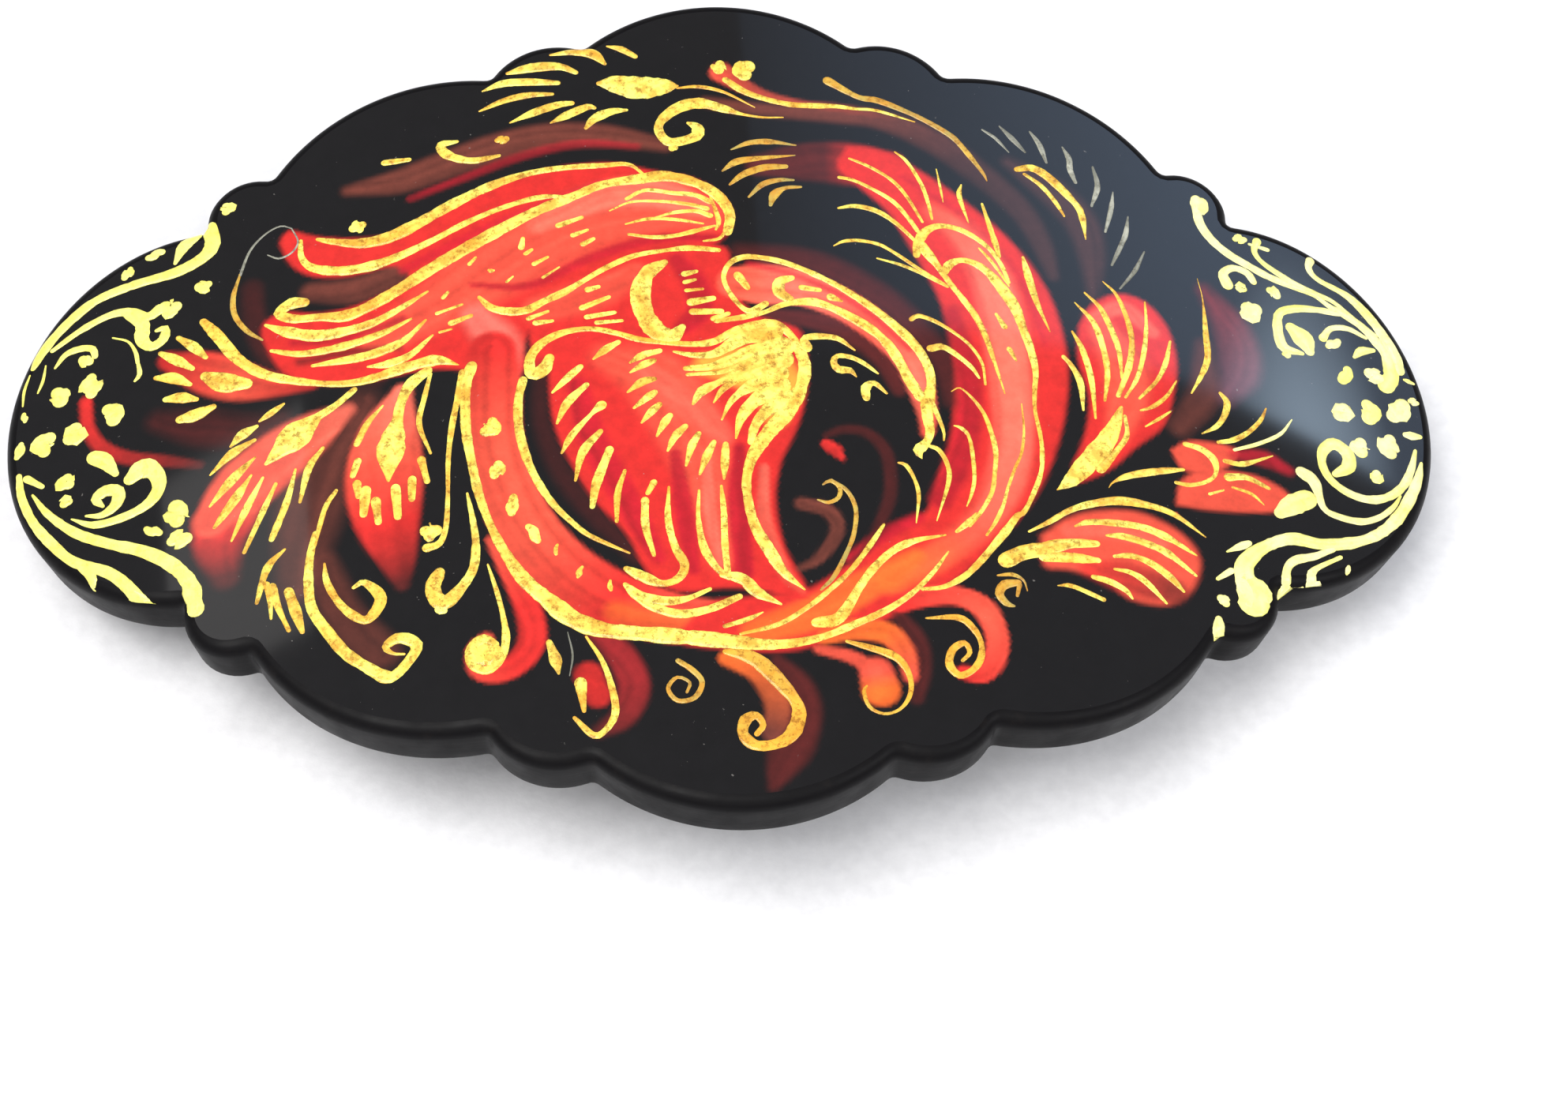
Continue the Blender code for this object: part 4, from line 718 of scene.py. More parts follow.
# ---------------------------------------------------------------- underpainting, in the order it is laid
# Each entry is (tones along the wash, softness of its edge, strength, places). Places with a width are a
# brush wash along a path, and places without one are the corners of a filled patch.
UNDERPAINTING = [
    # glazes round the left flowers
    ("maroon", 1.6, 0.6, [
        (-33, 9.5, 1.2), (-32.6, 6.5, 1.4), (-31, 3.4, 1.6), (-28, 1.8, 1.2), (-24, 0.9, 0.8),
    ]),
    ("maroon", 2.0, 0.6, [(-39, -0.6, 1.4), (-36, -1.6, 2.6), (-33, -2.2, 2.2), (-30.5, -1.6, 1)]),
    ("brown", 2.6, 0.55, [(-25, -1, 2), (-27.4, -6, 4), (-28.4, -10, 4), (-29, -15, 2)]),
    ("brown", 1.6, 0.5, [(-27.4, -13.5, 2), (-25.8, -17.6, 2.6), (-23.4, -20.4, 2.6)]),
    ("red>maroon", 0.5, 0.85, [
        (-44.3, 1.8, 0.9), (-43.9, -0.5, 0.9), (-42.8, -2.2, 1), (-41, -3.3, 1), (-38.5, -3.9, 0.9),
        (-36, -4.6, 0.6),
    ]),
    ("red>coral>red", 0.8, 0.95, [
        (-38.6, 4.3, 1.4), (-36, 3, 3.2), (-33.5, 1.8, 3), (-31, 1.2, 1.8), (-28.5, 0.9, 0.6),
    ]),
    ("coral>red>maroon", 1.4, 0.85, [(-32.6, -6.4, 4), (-34.3, -10.2, 3.6), (-33.8, -13.6, 1.8)]),
    ("light>coral>coral", 1.0, 0.9, [
        (-26, -1.4, 1), (-28.4, -3, 3.2), (-31, -5, 4.2), (-33.4, -7.4, 4), (-35, -9.2, 2.4),
    ]),
    ("light>coral>red>maroon", 0.7, 0.95, [
        (-22.3, -0.4, 1.4), (-23.1, -3.4, 4), (-23.4, -7, 5.2), (-23.1, -10.4, 4.4), (-22.4, -13.4, 2.6),
        (-22, -15.4, 1),
    ]),
    # leaves along the top
    ("brown", 1.0, 0.85, [
        (-26.5, 17.2, 0.8), (-23, 17.6, 2), (-20, 18.6, 2.3), (-16, 20, 2.4), (-12, 20.8, 2.2),
        (-8, 20.6, 1.8),
        (-4, 19.6, 1),
    ]),
    ("crimson", 0.6, 0.6, [
        (-22, 16, 0.5), (-18, 17.6, 0.6), (-14, 19.2, 0.7), (-10, 20, 0.7), (-6, 19.6, 0.5),
    ]),
    ("brown>brown>umber>umber", 1.0, 0.85, [
        (-1, 23.5, 0.8), (1, 23.1, 1), (4, 22.7, 1.1), (8, 22.4, 1.3), (11, 22.2, 1.6), (13.5, 21.3, 1.9),
        (16, 19.8, 2.1), (18, 18, 2.1), (20, 16, 2), (21.5, 14, 1.8), (22.5, 11.5, 1.5), (23, 9, 0.8),
    ]),
    ("umber", 1.4, 0.85, [
        (20.6, 18.8, 0.8), (22.5, 17.3, 1.8), (24, 16, 2.4), (25.5, 13.8, 2.4), (26, 11, 1.9),
        (25.8, 7.6, 0.7),
    ]),
    ("coral>brown", 0.5, 0.85, [
        (0.2, 26.2, 1.7), (1.7, 25, 1.2), (3.4, 24.1, 0.7), (6, 23.4, 0.5), (9, 23, 0.7), (12.5, 22.3, 0.4),
    ]),
    ("maroon>maroon>red", 1.0, 0.9, [(2.6, 17.8, 1.8), (6, 18.1, 3.2), (9, 18, 3.6), (11.8, 17.6, 3)]),
    # upper wing
    ("brown", 1.2, 0.75, [(-28.8, 8.7, 1.4), (-25.6, 8.5, 2), (-22.8, 9.7, 1.6), (-20.6, 11.2, 0.8)]),
    ("red", 0.6, 1.0, [
        (-31.2, 13.2), (-30.6, 14.2), (-28.5, 13.4), (-25.5, 12.9), (-23, 13.2), (-19, 15.4), (-16, 16.8),
        (-12, 17.9), (-8, 18.2), (-5, 17.4), (-1.8, 16.5), (0.2, 14.6), (0.4, 12.4), (-1, 10.8), (-4, 10.8),
        (-8, 9.6), (-12, 7), (-13.2, 5.4), (-14, 3), (-14.2, 0.6), (-17, 1), (-20.5, 1.4), (-23.5, 1),
        (-27.5, 0.8), (-30, 1.8), (-31.2, 3.2), (-32.2, 6), (-30.8, 7.2), (-28, 6.8), (-25, 7.4),
        (-22, 9.2),
        (-23, 10.3), (-26, 9.8), (-28.6, 10), (-30.3, 11.2),
    ]),
    ("coral", 2.0, 0.85, [
        (-24, 4.2, 2.4), (-20, 6.6, 4), (-14.4, 10.6, 5.6), (-9, 13.4, 5.4), (-4, 14.2, 4.4),
        (-1.2, 13.4, 2.6),
    ]),
    ("light", 1.2, 0.8, [(-13, 13, 1.2), (-8.6, 15.2, 2.4), (-4.4, 15.3, 2.6), (-1.6, 14.1, 1.6)]),
    ("crimson", 0.7, 0.7, [(-22.4, 9.9, 0.7), (-18.4, 12.1, 0.8), (-13.4, 14.5, 0.7), (-8.6, 16.5, 0.6)]),
    ("crimson", 0.8, 0.75, [(-30, 4.6, 0.6), (-26, 4.6, 0.8), (-22.4, 5.8, 0.6)]),
    ("maroon", 0.8, 0.7, [(-29.4, 2.9, 0.6), (-26.4, 3.3, 0.7), (-22.6, 3.4, 0.5)]),
    ("rose", 1.6, 0.75, [(-17.4, 5.6, 2), (-15.8, 3.2, 3), (-15.7, 1, 2.6)]),
    # body
    ("red", 0.6, 1.0, [
        (-13.4, 1), (-13.4, 6.6), (-9, 9.4), (-4, 10.8), (0, 10.6), (0.2, 8), (1.6, 5.2), (5, 3.4), (2, 1),
        (-5, 0.6), (-10, 1),
    ]),
    ("coral", 1.5, 0.8, [(-13, 5.8, 2.2), (-9, 7, 2.6), (-6.4, 8.6, 1.6)]),
    ("crimson", 0.9, 0.8, [(-3.4, 9.6, 1.2), (-2.2, 7.6, 1.8), (-2, 5.2, 1.8), (-3.6, 3.4, 1)]),
    ("crimson", 0.6, 0.85, [
        (-17.6, 8.2, 0.4), (-13.6, 7.9, 0.7), (-9.4, 10, 0.8), (-5, 11.4, 0.8), (-0.8, 11.5, 0.6),
    ]),
    # ring: its left half
    ("red>coral>coral>red>coral", 0.6, 1.0, [
        (-16.2, 2.5, 3.4), (-16.1, -0.5, 3.7), (-16, -4, 3.6), (-15.4, -7.5, 3.7), (-14.3, -11, 4.1),
        (-12.6, -13.8, 4.3), (-10.5, -16, 4.4), (-7.5, -17.9, 4.2), (-4, -19.1, 3.6), (-0.5, -19.6, 3.2),
    ]),
    ("orange", 1.2, 0.6, [(-8, -18.4, 1.6), (-4, -19.4, 1.8), (0, -19.8, 1.8)]),
    # ring: the tail, its right half
    ("red", 0.7, 1.0, [
        (9, 19.6), (11, 19.4), (13.2, 18.2), (15.6, 16.4), (18, 14.2), (20, 12), (21.6, 9.6), (22.7, 7),
        (23.3, 4), (23.4, 1), (23, -2), (22.2, -5), (21, -8), (19.4, -10.6), (17.6, -12.8), (15.6, -15),
        (13, -17.2), (10, -19), (6.5, -20.6), (3, -21.6), (-1, -21.4), (-4, -20.6), (-2, -18), (1, -17.5),
        (4.5, -17), (8, -14.5), (11, -12), (12.8, -10.8), (13.8, -8), (14.8, -5), (15.2, -2), (15.4, 1),
        (15.3, 4), (14.6, 7), (13.6, 9.5), (12.5, 12), (11.5, 14), (9.5, 16.2), (8.2, 17.8),
    ]),
    ("crimson", 1.2, 0.8, [
        (15.6, 5.4, 1), (16.3, 1, 1.7), (16.2, -3, 1.8), (15.2, -7, 1.8), (13.8, -10, 1.5),
    ]),
    ("coral>light>light>light>coral>orange", 1.6, 0.85, [
        (14.8, 14, 1.4), (17, 12, 2.4), (18.6, 8.5, 2.8), (19.2, 4, 3), (19.3, 0, 2.8), (19.2, -4, 2.6),
        (18.4, -8, 2.6), (16.4, -11.6, 2.2), (13.2, -14.4, 2), (10, -16.2, 2),
    ]),
    ("orange", 1.0, 0.85, [(11.8, -14.4, 1.2), (8.5, -16.6, 2.2), (5, -18.7, 2.4), (1, -20.2, 2)]),
    ("crimson", 0.7, 0.85, [(12.2, -11.4, 0.8), (9.8, -12.8, 1), (7.4, -14.6, 0.6)]),
    ("crimson", 0.7, 0.5, [
        (12.8, 17, 0.5), (16, 14.6, 0.6), (18.8, 11.4, 0.6), (20.8, 8.2, 0.5), (22, 3, 0.4),
    ]),
    # lower wing
    ("maroon", 1.4, 0.45, [
        (-12.8, 1.4, 0.8), (-12.9, -3, 1), (-11.6, -7.4, 1.2), (-9.2, -11.2, 1.2), (-6.6, -14.4, 0.8),
    ]),
    ("red", 0.6, 1.0, [
        (-12.3, 2), (-12.3, -1), (-11.9, -4), (-10.8, -7), (-9.2, -10), (-7.2, -12.6), (-6, -15.4),
        (-4, -17), (-1, -16.8), (1.4, -17), (4.5, -17.6), (3.2, -14), (2.8, -12), (2.7, -9.5), (3.2, -7),
        (4.3, -4.5), (5, -2), (5.3, 1), (4.5, 3.6), (0, 3.6), (-5, 3), (-9, 3.6),
    ]),
    ("coral", 2.2, 0.85, [
        (-8.4, 1.6, 2), (-5, -0.4, 4.6), (-2.8, -4.6, 4.6), (-1.6, -10, 2.8), (-1, -14.6, 1.6),
    ]),
    ("light", 1.0, 0.5, [(-6, 0.6, 1.4), (-3, -2.4, 2), (-0.6, -5, 1.4)]),
    ("crimson", 0.9, 0.8, [(-10.4, -0.6, 1.4), (-9.4, -5, 2), (-7, -10.4, 1.8), (-5.2, -14.4, 1)]),
    ("crimson", 0.5, 0.85, [(-3.9, -6.4, 0.8), (-3.4, -11, 1.3), (-2.9, -15.4, 0.8)]),
    ("crimson", 0.5, 0.9, [(0.4, -6, 0.8), (0.2, -10, 1.4), (0.4, -15.6, 1.3)]),
    ("light", 0.5, 0.75, [(-1.8, -6.4, 0.5), (-1.7, -11, 0.8), (-1.2, -15, 0.5)]),
    ("light>coral", 0.5, 0.8, [(2, -7.6, 0.6), (1.9, -11.6, 0.9), (3, -15.6, 0.9), (4.2, -17.2, 0.4)]),
    ("amber", 1.4, 0.7, [(-1.6, 0.8, 1.6), (1.4, 0.4, 3.6), (3.2, -0.8, 3.4), (3, -3.4, 1.6)]),
    # neck and head
    ("maroon", 1.6, 0.8, [
        (1, 10.3, 1), (6, 9.4, 1.6), (10, 7, 1.9), (13, 4, 1.7), (14.7, 1, 1.4), (15, -2, 0.8),
    ]),
    ("maroon", 1.0, 0.85, [(2.5, 5, 0.8), (7, 4.1, 1.6), (10.2, 1.7, 1.5), (11.5, -1.2, 0.9)]),
    ("coral>light>coral>light>coral", 0.5, 1.0, [
        (0.6, 7.6, 2.6), (2.5, 7.5, 3.4), (5, 7.2, 2.9), (8, 5.8, 2.5), (10.6, 3.6, 2.3), (12.2, 1.4, 2),
        (12.9, -0.6, 1.9), (13.3, -3.2, 1.3), (13.2, -4.6, 0.9),
    ]),
    ("crimson", 0.6, 0.7, [(1.6, 9.2, 0.4), (5.6, 7.9, 0.5), (9.4, 5.4, 0.5), (12.4, 2.2, 0.5)]),
    # dark centre
    ("maroon", 0.6, 0.75, [
        (6.3, -5, 0.4), (7.5, -4.5, 0.6), (9, -4.7, 0.7), (10.2, -6, 0.8), (10.5, -8, 0.8),
        (10.3, -10, 0.8),
        (9.6, -11.8, 0.7), (8.8, -13.5, 0.6), (7.5, -15, 0.4),
    ]),
    ("brown", 0.5, 0.9, [
        (4.4, -10.4, 0.9), (6.1, -10.9, 1), (6.7, -12.4, 0.9), (5.4, -14.6, 0.7), (4, -15.4, 0.4),
    ]),
    ("red", 0.3, 0.9, [(6.3, -5.7, 0.8), (6.9, -6.2, 0.9), (7.3, -6.9, 0.3)]),
    # curls along the bottom
    ("coral>red>red>coral", 0.5, 0.95, [
        (-16.3, -12.5, 0.5), (-15, -15, 1.2), (-13.8, -17.8, 1.7), (-13.5, -20.2, 1.8), (-14.4, -21.8, 1.7),
        (-15.8, -22.5, 1.5), (-17, -22.2, 1.2), (-17.2, -20.8, 1.1), (-16.5, -20, 0.9),
    ]),
    ("wine>wine>maroon", 0.9, 0.9, [
        (-9.5, -19.8, 1), (-7.8, -21.6, 1.8), (-7, -24, 2), (-7.7, -26.1, 1.6), (-9.2, -27.1, 0.9),
    ]),
    ("red", 0.6, 0.9, [(-9.9, -23, 1.8), (-9.3, -24.6, 1.6)]),
    ("maroon", 1.0, 0.9, [
        (2.3, -22.3, 0.7), (3.7, -24, 1.4), (4, -26, 2), (3, -28.4, 2.8), (2.2, -30.2, 1.8),
        (1.7, -31.4, 0.6),
    ]),
    ("orange>brown", 0.6, 0.85, [
        (-1, -22.1, 1), (1, -23, 1.6), (1.9, -24.5, 1.6), (2.2, -26, 1.6), (1.8, -27.5, 1.4),
    ]),
    ("maroon", 0.9, 0.75, [(10.3, -18.8, 0.8), (11.5, -20.8, 1.2), (11.6, -23, 1.2), (11.2, -25, 0.8)]),
    ("orange>orange>coral", 0.5, 0.95, [
        (5.4, -20.6, 1), (7.5, -20, 1.5), (9.6, -20.3, 1.6), (10.7, -21.8, 1.3), (10.9, -23.4, 1),
    ]),
    ("coral", 0.4, 0.9, [(5, -21.5, 0.6), (7, -22, 0.9), (8.4, -22.9, 1)]),
    ("coral>orange", 0.5, 0.95, [(8.7, -23.2, 2.2), (8.9, -24.4, 2.5)]),
    ("red>coral>red", 0.4, 1.0, [
        (10.5, -18, 1.3), (12.5, -17.4, 1.5), (14.5, -17.4, 1.4), (16.1, -18.3, 1.6), (16.8, -20.3, 1.5),
        (16.5, -22.1, 1.4), (15.6, -23.2, 1.2), (14.4, -23.1, 1),
    ]),
    # plume at the lower right
    ("coral", 0.9, 0.95, [
        (20.4, -12.5), (23, -10.7), (27, -10.2), (30, -11.6), (31.2, -13.6), (30.4, -16), (28.6, -17.3),
        (26, -17), (24.4, -15.6), (22, -15), (20.4, -14.8),
    ]),
    ("red>maroon", 1.2, 0.75, [(23.4, -14.8, 1.2), (26, -15.4, 2.4), (29, -16.2, 2)]),
    ("light", 0.9, 0.6, [(22.4, -12, 1), (25.6, -11.8, 1.2), (28.6, -12.6, 1)]),
    # shell
    ("red", 0.6, 1.0, [
        (24.5, 4.8), (25.5, 6.6), (27.5, 7.8), (29.5, 7.3), (30.9, 5.3), (31.3, 2.5), (30.8, -0.2),
        (29.8, -3), (27.6, -5), (25.5, -7), (23, -8.2), (23, -7), (24.2, -4), (24.7, -1), (24.2, 2),
    ]),
    ("coral", 1.4, 0.85, [(26.2, 4.6, 2), (27.4, 2, 3.4), (27.4, -1, 3), (26.4, -4, 1.6)]),
    ("light", 0.8, 0.6, [(25.6, 5.6, 0.8), (27.8, 6.6, 1.2), (29.8, 4.8, 0.9)]),
    # right of the shell
    ("wine>mauve", 1.8, 0.55, [(34, 8.8, 0.8), (35.7, 5.6, 2.6), (35.9, 2.2, 2.8), (34.6, -0.2, 1.2)]),
    ("brown", 1.4, 0.55, [(33.4, 4, 1), (33, 0, 2.2), (31, -3, 1.6)]),
    ("coral", 0.6, 0.9, [
        (30, -9.4), (30.6, -7.4), (32.6, -6.4), (36, -6.5), (38.2, -7.8), (37.2, -9.2), (33, -9.6),
    ]),
    ("coral", 0.5, 0.9, [(30.1, -5), (31.5, -4.1), (34, -4.2), (35, -4.8), (33.6, -6.2), (31, -6.6)]),
    ("crimson", 0.8, 0.7, [(34.6, -4.9, 0.8), (36.8, -5, 1.2), (38.4, -5.8, 0.8)]),
]

# Which strokes make which piece: (piece name, tone, strokes, dabs, record slot)
PAINT_PIECES = [
    ("gold_left_end", "lemon", GOLD_LEFT_END, DABS_LEFT_END, "gold_paint"),
    ("gold_left_flowers", "gold", GOLD_LEFT_FLOWERS, [], "gold_paint"),
    ("gold_ring", "gold", GOLD_RING, DABS_CENTRE, "gold_paint"),
    ("gold_upper_wing", "gold", GOLD_UPPER_WING, [], "gold_paint"),
    ("gold_top_left", "gold", GOLD_TOP_LEFT, [], "gold_paint"),
    ("gold_top_right", "gold", GOLD_TOP_RIGHT, DABS_TOP_RIGHT, "gold_paint"),
    ("gold_tail", "gold", GOLD_TAIL, [], "gold_paint"),
    ("gold_neck", "gold", GOLD_NECK, [], "gold_paint"),
    ("gold_breast", "gold", GOLD_BREAST, [], "gold_paint"),
    ("gold_lower_wing", "gold", GOLD_LOWER_WING, [], "gold_paint"),
    ("gold_bottom_curls", "amber", GOLD_BOTTOM_CURLS, [], "gold_paint"),
    ("gold_plume", "gold", GOLD_PLUME, [], "gold_paint"),
    ("gold_shell", "gold", GOLD_SHELL, [], "gold_paint"),
    ("gold_small_flower", "gold", GOLD_SMALL_FLOWER, [], "gold_paint"),
    ("ochre_curls", "ochre", OCHRE_CURLS, [], "gold_paint"),
    ("ochre_tail_tip", "ochre", OCHRE_TAIL_TIP, [], "gold_paint"),
    ("cream_right_end", "cream", CREAM_RIGHT_END + CREAM_RIGHT_MIDDLE, DABS_RIGHT_END, "gold_paint"),
    ("silver_strokes", "silver", SILVER_LEFT + SILVER_TOP_RIGHT, [], "silver_paint"),
]

# ---------------------------------------------------------------- the plate's outline


def arc_between(start, end, rise, steps):
    """Points on the circular arc from start to end that bows out to the walk's right by rise."""
    start = Vector(start)
    end = Vector(end)
    chord = end - start
    outward = Vector((chord.y, -chord.x)).normalized()
    radius = (chord.length_squared / 4 + rise * rise) / (2 * rise)
    centre = (start + end) / 2 - outward * (radius - rise)
    half_angle = math.asin(chord.length / 2 / radius)
    if rise > radius:
        half_angle = math.pi - half_angle
    points = []
    for step in range(steps + 1):
        turn = half_angle * (2 * step / steps - 1)
        spoke = outward * math.cos(turn) + chord.normalized() * math.sin(turn)
        points.append(centre + spoke * radius)
    return points


def end_lobe(side):
    """Half an ellipse round one end of the plate, walked anticlockwise; side is 1 or -1."""
    centre_x, half_height = NOTCHES[0]
    points = []
    for step in range(END_LOBE_STEPS + 1):
        turn = math.pi * (step / END_LOBE_STEPS - 0.5)
        x = centre_x + END_LOBE_REACH * math.cos(turn)
        points.append(Vector((x * side, half_height * math.sin(turn) * side)))
    return points


def plate_stretches():
    """The plate's scallops in anticlockwise order, each a list of points from notch to notch."""
    quarter = list(zip(NOTCHES[:-1], NOTCHES[1:], LOBE_RISES, LOBE_STEPS))
    stretches = []
    for side in (1, -1):
        stretches.append(end_lobe(side))
        for start, end, rise, steps in quarter:
            stretches.append(arc_between(Vector(start) * side, Vector(end) * side, rise, steps))
        middle = Vector(NOTCHES[-1])
        across = Vector((-middle.x, middle.y))
        stretches.append(arc_between(middle * side, across * side, MIDDLE_LOBE_RISE, MIDDLE_LOBE_STEPS))
        for start, end, rise, steps in reversed(quarter):
            first = Vector((-end[0], end[1])) * side
            last = Vector((-start[0], start[1])) * side
            stretches.append(arc_between(first, last, rise, steps))
    return stretches


def ease_corners(stretches):
    """Join the stretches into one loop, with each notch rounded by a small curve."""
    trimmed = []
    for points in stretches:
        first, last = points[0], points[-1]
        limit = NOTCH_EASE * 1.15
        inner = [p for p in points if (p - first).length > limit and (p - last).length > limit]
        lead_in = first + (points[1] - first).normalized() * NOTCH_EASE
        lead_out = last + (points[-2] - last).normalized() * NOTCH_EASE
        trimmed.append([lead_in, *inner, lead_out])
    loop = []
    for index, points in enumerate(trimmed):
        corner = stretches[index][-1]
        leaving = points[-1]
        following = trimmed[(index + 1) % len(trimmed)][0]
        loop.extend(points)
        for share in (0.25, 0.5, 0.75):
            near = leaving.lerp(corner, share)
            far = corner.lerp(following, share)
            loop.append(near.lerp(far, share))
    return np.array([tuple(p) for p in loop])


def inset_loop(loop, distance):
    """The anticlockwise loop moved inwards by distance."""
    before = loop - np.roll(loop, 1, axis=0)
    after = np.roll(loop, -1, axis=0) - loop
    before /= np.linalg.norm(before, axis=1, keepdims=True)
    after /= np.linalg.norm(after, axis=1, keepdims=True)
    along = before + after
    inward = np.stack([-along[:, 1], along[:, 0]], axis=1)
    inward /= np.linalg.norm(inward, axis=1, keepdims=True)
    lengthen = 1 / np.maximum(0.6, (inward[:, 1] * after[:, 0]) - (inward[:, 0] * after[:, 1]))
    return loop + inward * distance * lengthen[:, None]


def bend(plan, depth):
    """Metre places of plan points that lie depth below the CAD's face, bent onto the arch."""
    angle = np.arcsin(plan[:, 0] / ARCH_RADIUS)
    radius = ARCH_RADIUS - depth
    height = OVERALL_HEIGHT - ARCH_RADIUS + radius * np.cos(angle)
    return np.stack([radius * np.sin(angle), plan[:, 1], height], axis=1) * MM


OUTLINE = inset_loop(ease_corners(plate_stretches()), SIDE_INSET)


def nearest_on(points, starts, along):
    """For each point: the row of its nearest segment, its share along that segment, and the nearest place."""
    gap = points[:, None] - starts[None]
    share = np.clip((gap * along).sum(2) / (along**2).sum(1), 0, 1)
    nearest = starts[None] + share[..., None] * along
    index = ((points[:, None] - nearest) ** 2).sum(2).argmin(1)
    rows = np.arange(len(points))
    return index, share[rows, index], nearest[rows, index]


def side_of(along, away):
    """1 for each place on the left of its segment, -1 on the right."""
    return np.sign(along[:, 0] * away[:, 1] - along[:, 1] * away[:, 0])


def from_edge(points, loop):
    """For each point: how far inside the anticlockwise loop it is, and the nearest place on the loop."""
    along = np.roll(loop, -1, axis=0) - loop
    index, _, nearest = nearest_on(points, loop, along)
    away = points - nearest
    return np.linalg.norm(away, axis=1) * side_of(along[index], away), nearest


# ---------------------------------------------------------------- paths and underpainting


def smooth_path(points, spacing):
    """Places (x, y, width) along a smooth curve through the points, about spacing apart."""
    control = np.array(points, float)
    control = np.vstack([2 * control[0] - control[1], control, 2 * control[-1] - control[-2]])
    stretches = []
    for before, start, end, after in zip(control, control[1:], control[2:], control[3:]):
        steps = max(2, int(np.hypot(*(end - start)[:2]) / spacing) + 1)
        t = np.linspace(0, 1, steps, endpoint=False)[:, None]
        curve = 2 * start + (end - before) * t
        curve = curve + (2 * before - 5 * start + 4 * end - after) * t**2
        stretches.append((curve + (3 * start - before - 3 * end + after) * t**3) / 2)
    path = np.vstack([*stretches, control[-2:-1]])
    path[:, 2] = np.maximum(path[:, 2], 0.05)
    return path


def soft_step(value):
    """0 below 0, 1 above 1, and a smooth rise between."""
    value = np.clip(value, 0, 1)
    return value * value * (3 - 2 * value)


def tone_along(tones, share):
    """The colour of each place along a wash, for tones such as red>coral."""
    colours = np.array([TONES[name] for name in tones.split(">")])
    stops = np.linspace(0, 1, len(colours))
    return np.stack([np.interp(share, stops, colours[:, part]) for part in range(3)], axis=1)


def lay(paint, rows, colours, cover):
    """Blend colours over the rows of paint."""
    paint[rows] += (colours - paint[rows]) * cover[:, None]


def rows_within(plan, path, reach):
    """The rows of plan inside the box round the path, grown by reach."""
    low, high = path.min(0) - reach, path.max(0) + reach
    return np.nonzero(((plan > low) & (plan < high)).all(1))[0]


def bristle_streaks(across, place, rng):
    """Uneven loading of the brush, from -1 to 1: across it, and swaying a little along its path."""
    bristles = rng.uniform(-1, 1, BRISTLES)
    track = across * BRISTLES_PER_MM + BRISTLES / 2 + np.sin(place * 9) * 0.4
    return np.interp(track, np.arange(BRISTLES), bristles)


def lay_wash(paint, plan, tones, softness, strength, points, rng):
    """One soft brush wash along a path, with bristle streaks that follow it."""
    path = smooth_path(points, WASH_SPACING)
    rows = rows_within(plan, path[:, :2], path[:, 2].max() / 2 + softness)
    starts, along = path[:-1, :2], np.diff(path[:, :2], axis=0)
    index, share, nearest = nearest_on(plan[rows], starts, along)
    away = plan[rows] - nearest
    distance = np.linalg.norm(away, axis=1)
    half = (path[index, 2] * (1 - share) + path[index + 1, 2] * share) / 2
    cover = soft_step((half - distance) / (softness * EDGE_SOFTNESS) + 0.5) * strength
    place = (index + share) / len(starts)
    streak = bristle_streaks(distance * side_of(along[index], away), place, rng)
    lay(paint, rows, tone_along(tones, place) * (1 + STREAK_DEPTH * streak[:, None]), cover)


def lay_patch(paint, plan, tone, softness, strength, corners):
    """One filled patch with a soft, rounded outline."""
    closed = [(x, y, 1) for x, y in [*corners, corners[0]]]
    loop = smooth_path(closed, PATCH_SPACING)[:-1, :2]
    turn = loop[:, 0] * np.roll(loop[:, 1], -1) - loop[:, 1] * np.roll(loop[:, 0], -1)
    if turn.sum() < 0:
        loop = loop[::-1]
    rows = rows_within(plan, loop, softness)
    inside, _ = from_edge(plan[rows], loop)
    cover = soft_step(inside / (softness * EDGE_SOFTNESS) + 0.5) * strength
    lay(paint, rows, np.array(TONES[tone]), cover)


def underpainting(plan):
    """The colour of the painted face at each plan point."""
    rng = np.random.default_rng(UNDERPAINTING_SEED)
    paint = np.tile(np.array(TONES["black"]), (len(plan), 1))
    for tones, softness, strength, places in UNDERPAINTING:
        if len(places[0]) == 2:
            lay_patch(paint, plan, tones, softness, strength, places)
        else:
            lay_wash(paint, plan, tones, softness, strength, places, rng)
    return np.clip(paint, 0, 1)


# ---------------------------------------------------------------- meshes


def add_mesh(name, points, faces, colours):
    """A smooth mesh object with a point colour layer called tone."""
    mesh = bpy.data.meshes.new(name)
    mesh.from_pydata(points.tolist(), [], faces)
    layer = mesh.color_attributes.new("tone", "FLOAT_COLOR", "POINT")
    layer.data.foreach_set("color", np.column_stack([colours, np.ones(len(colours))]).ravel())
    mesh.shade_smooth()
    mesh.update()
    thing = bpy.data.objects.new(name, mesh)
    bpy.context.scene.collection.objects.link(thing)
    return thing


def filled(loop, spacing):
    """A flat triangle mesh inside the loop: its points, the loop's first, and its triangles."""
    rows = np.arange(loop[:, 1].min(), loop[:, 1].max(), spacing * math.sqrt(0.75))
    columns = np.arange(loop[:, 0].min(), loop[:, 0].max(), spacing)
    across, up = np.meshgrid(columns, rows)
    across = across + (np.arange(len(rows)) % 2 * spacing / 2)[:, None]
    grid = np.stack([across.ravel(), up.ravel()], axis=1)
    parts = np.array_split(grid, 1 + len(grid) // 2000)
    inside = np.concatenate([from_edge(part, loop[::2])[0] for part in parts])
    grid = grid[inside > spacing * 0.55]
    points = [Vector(place) for place in np.vstack([loop, grid]).tolist()]
    made = delaunay_2d_cdt(points, [], [list(range(len(loop)))], 1, 1e-6)
    assert len(made[0]) == len(points)
    return np.array([tuple(place) for place in made[0]]), made[2]


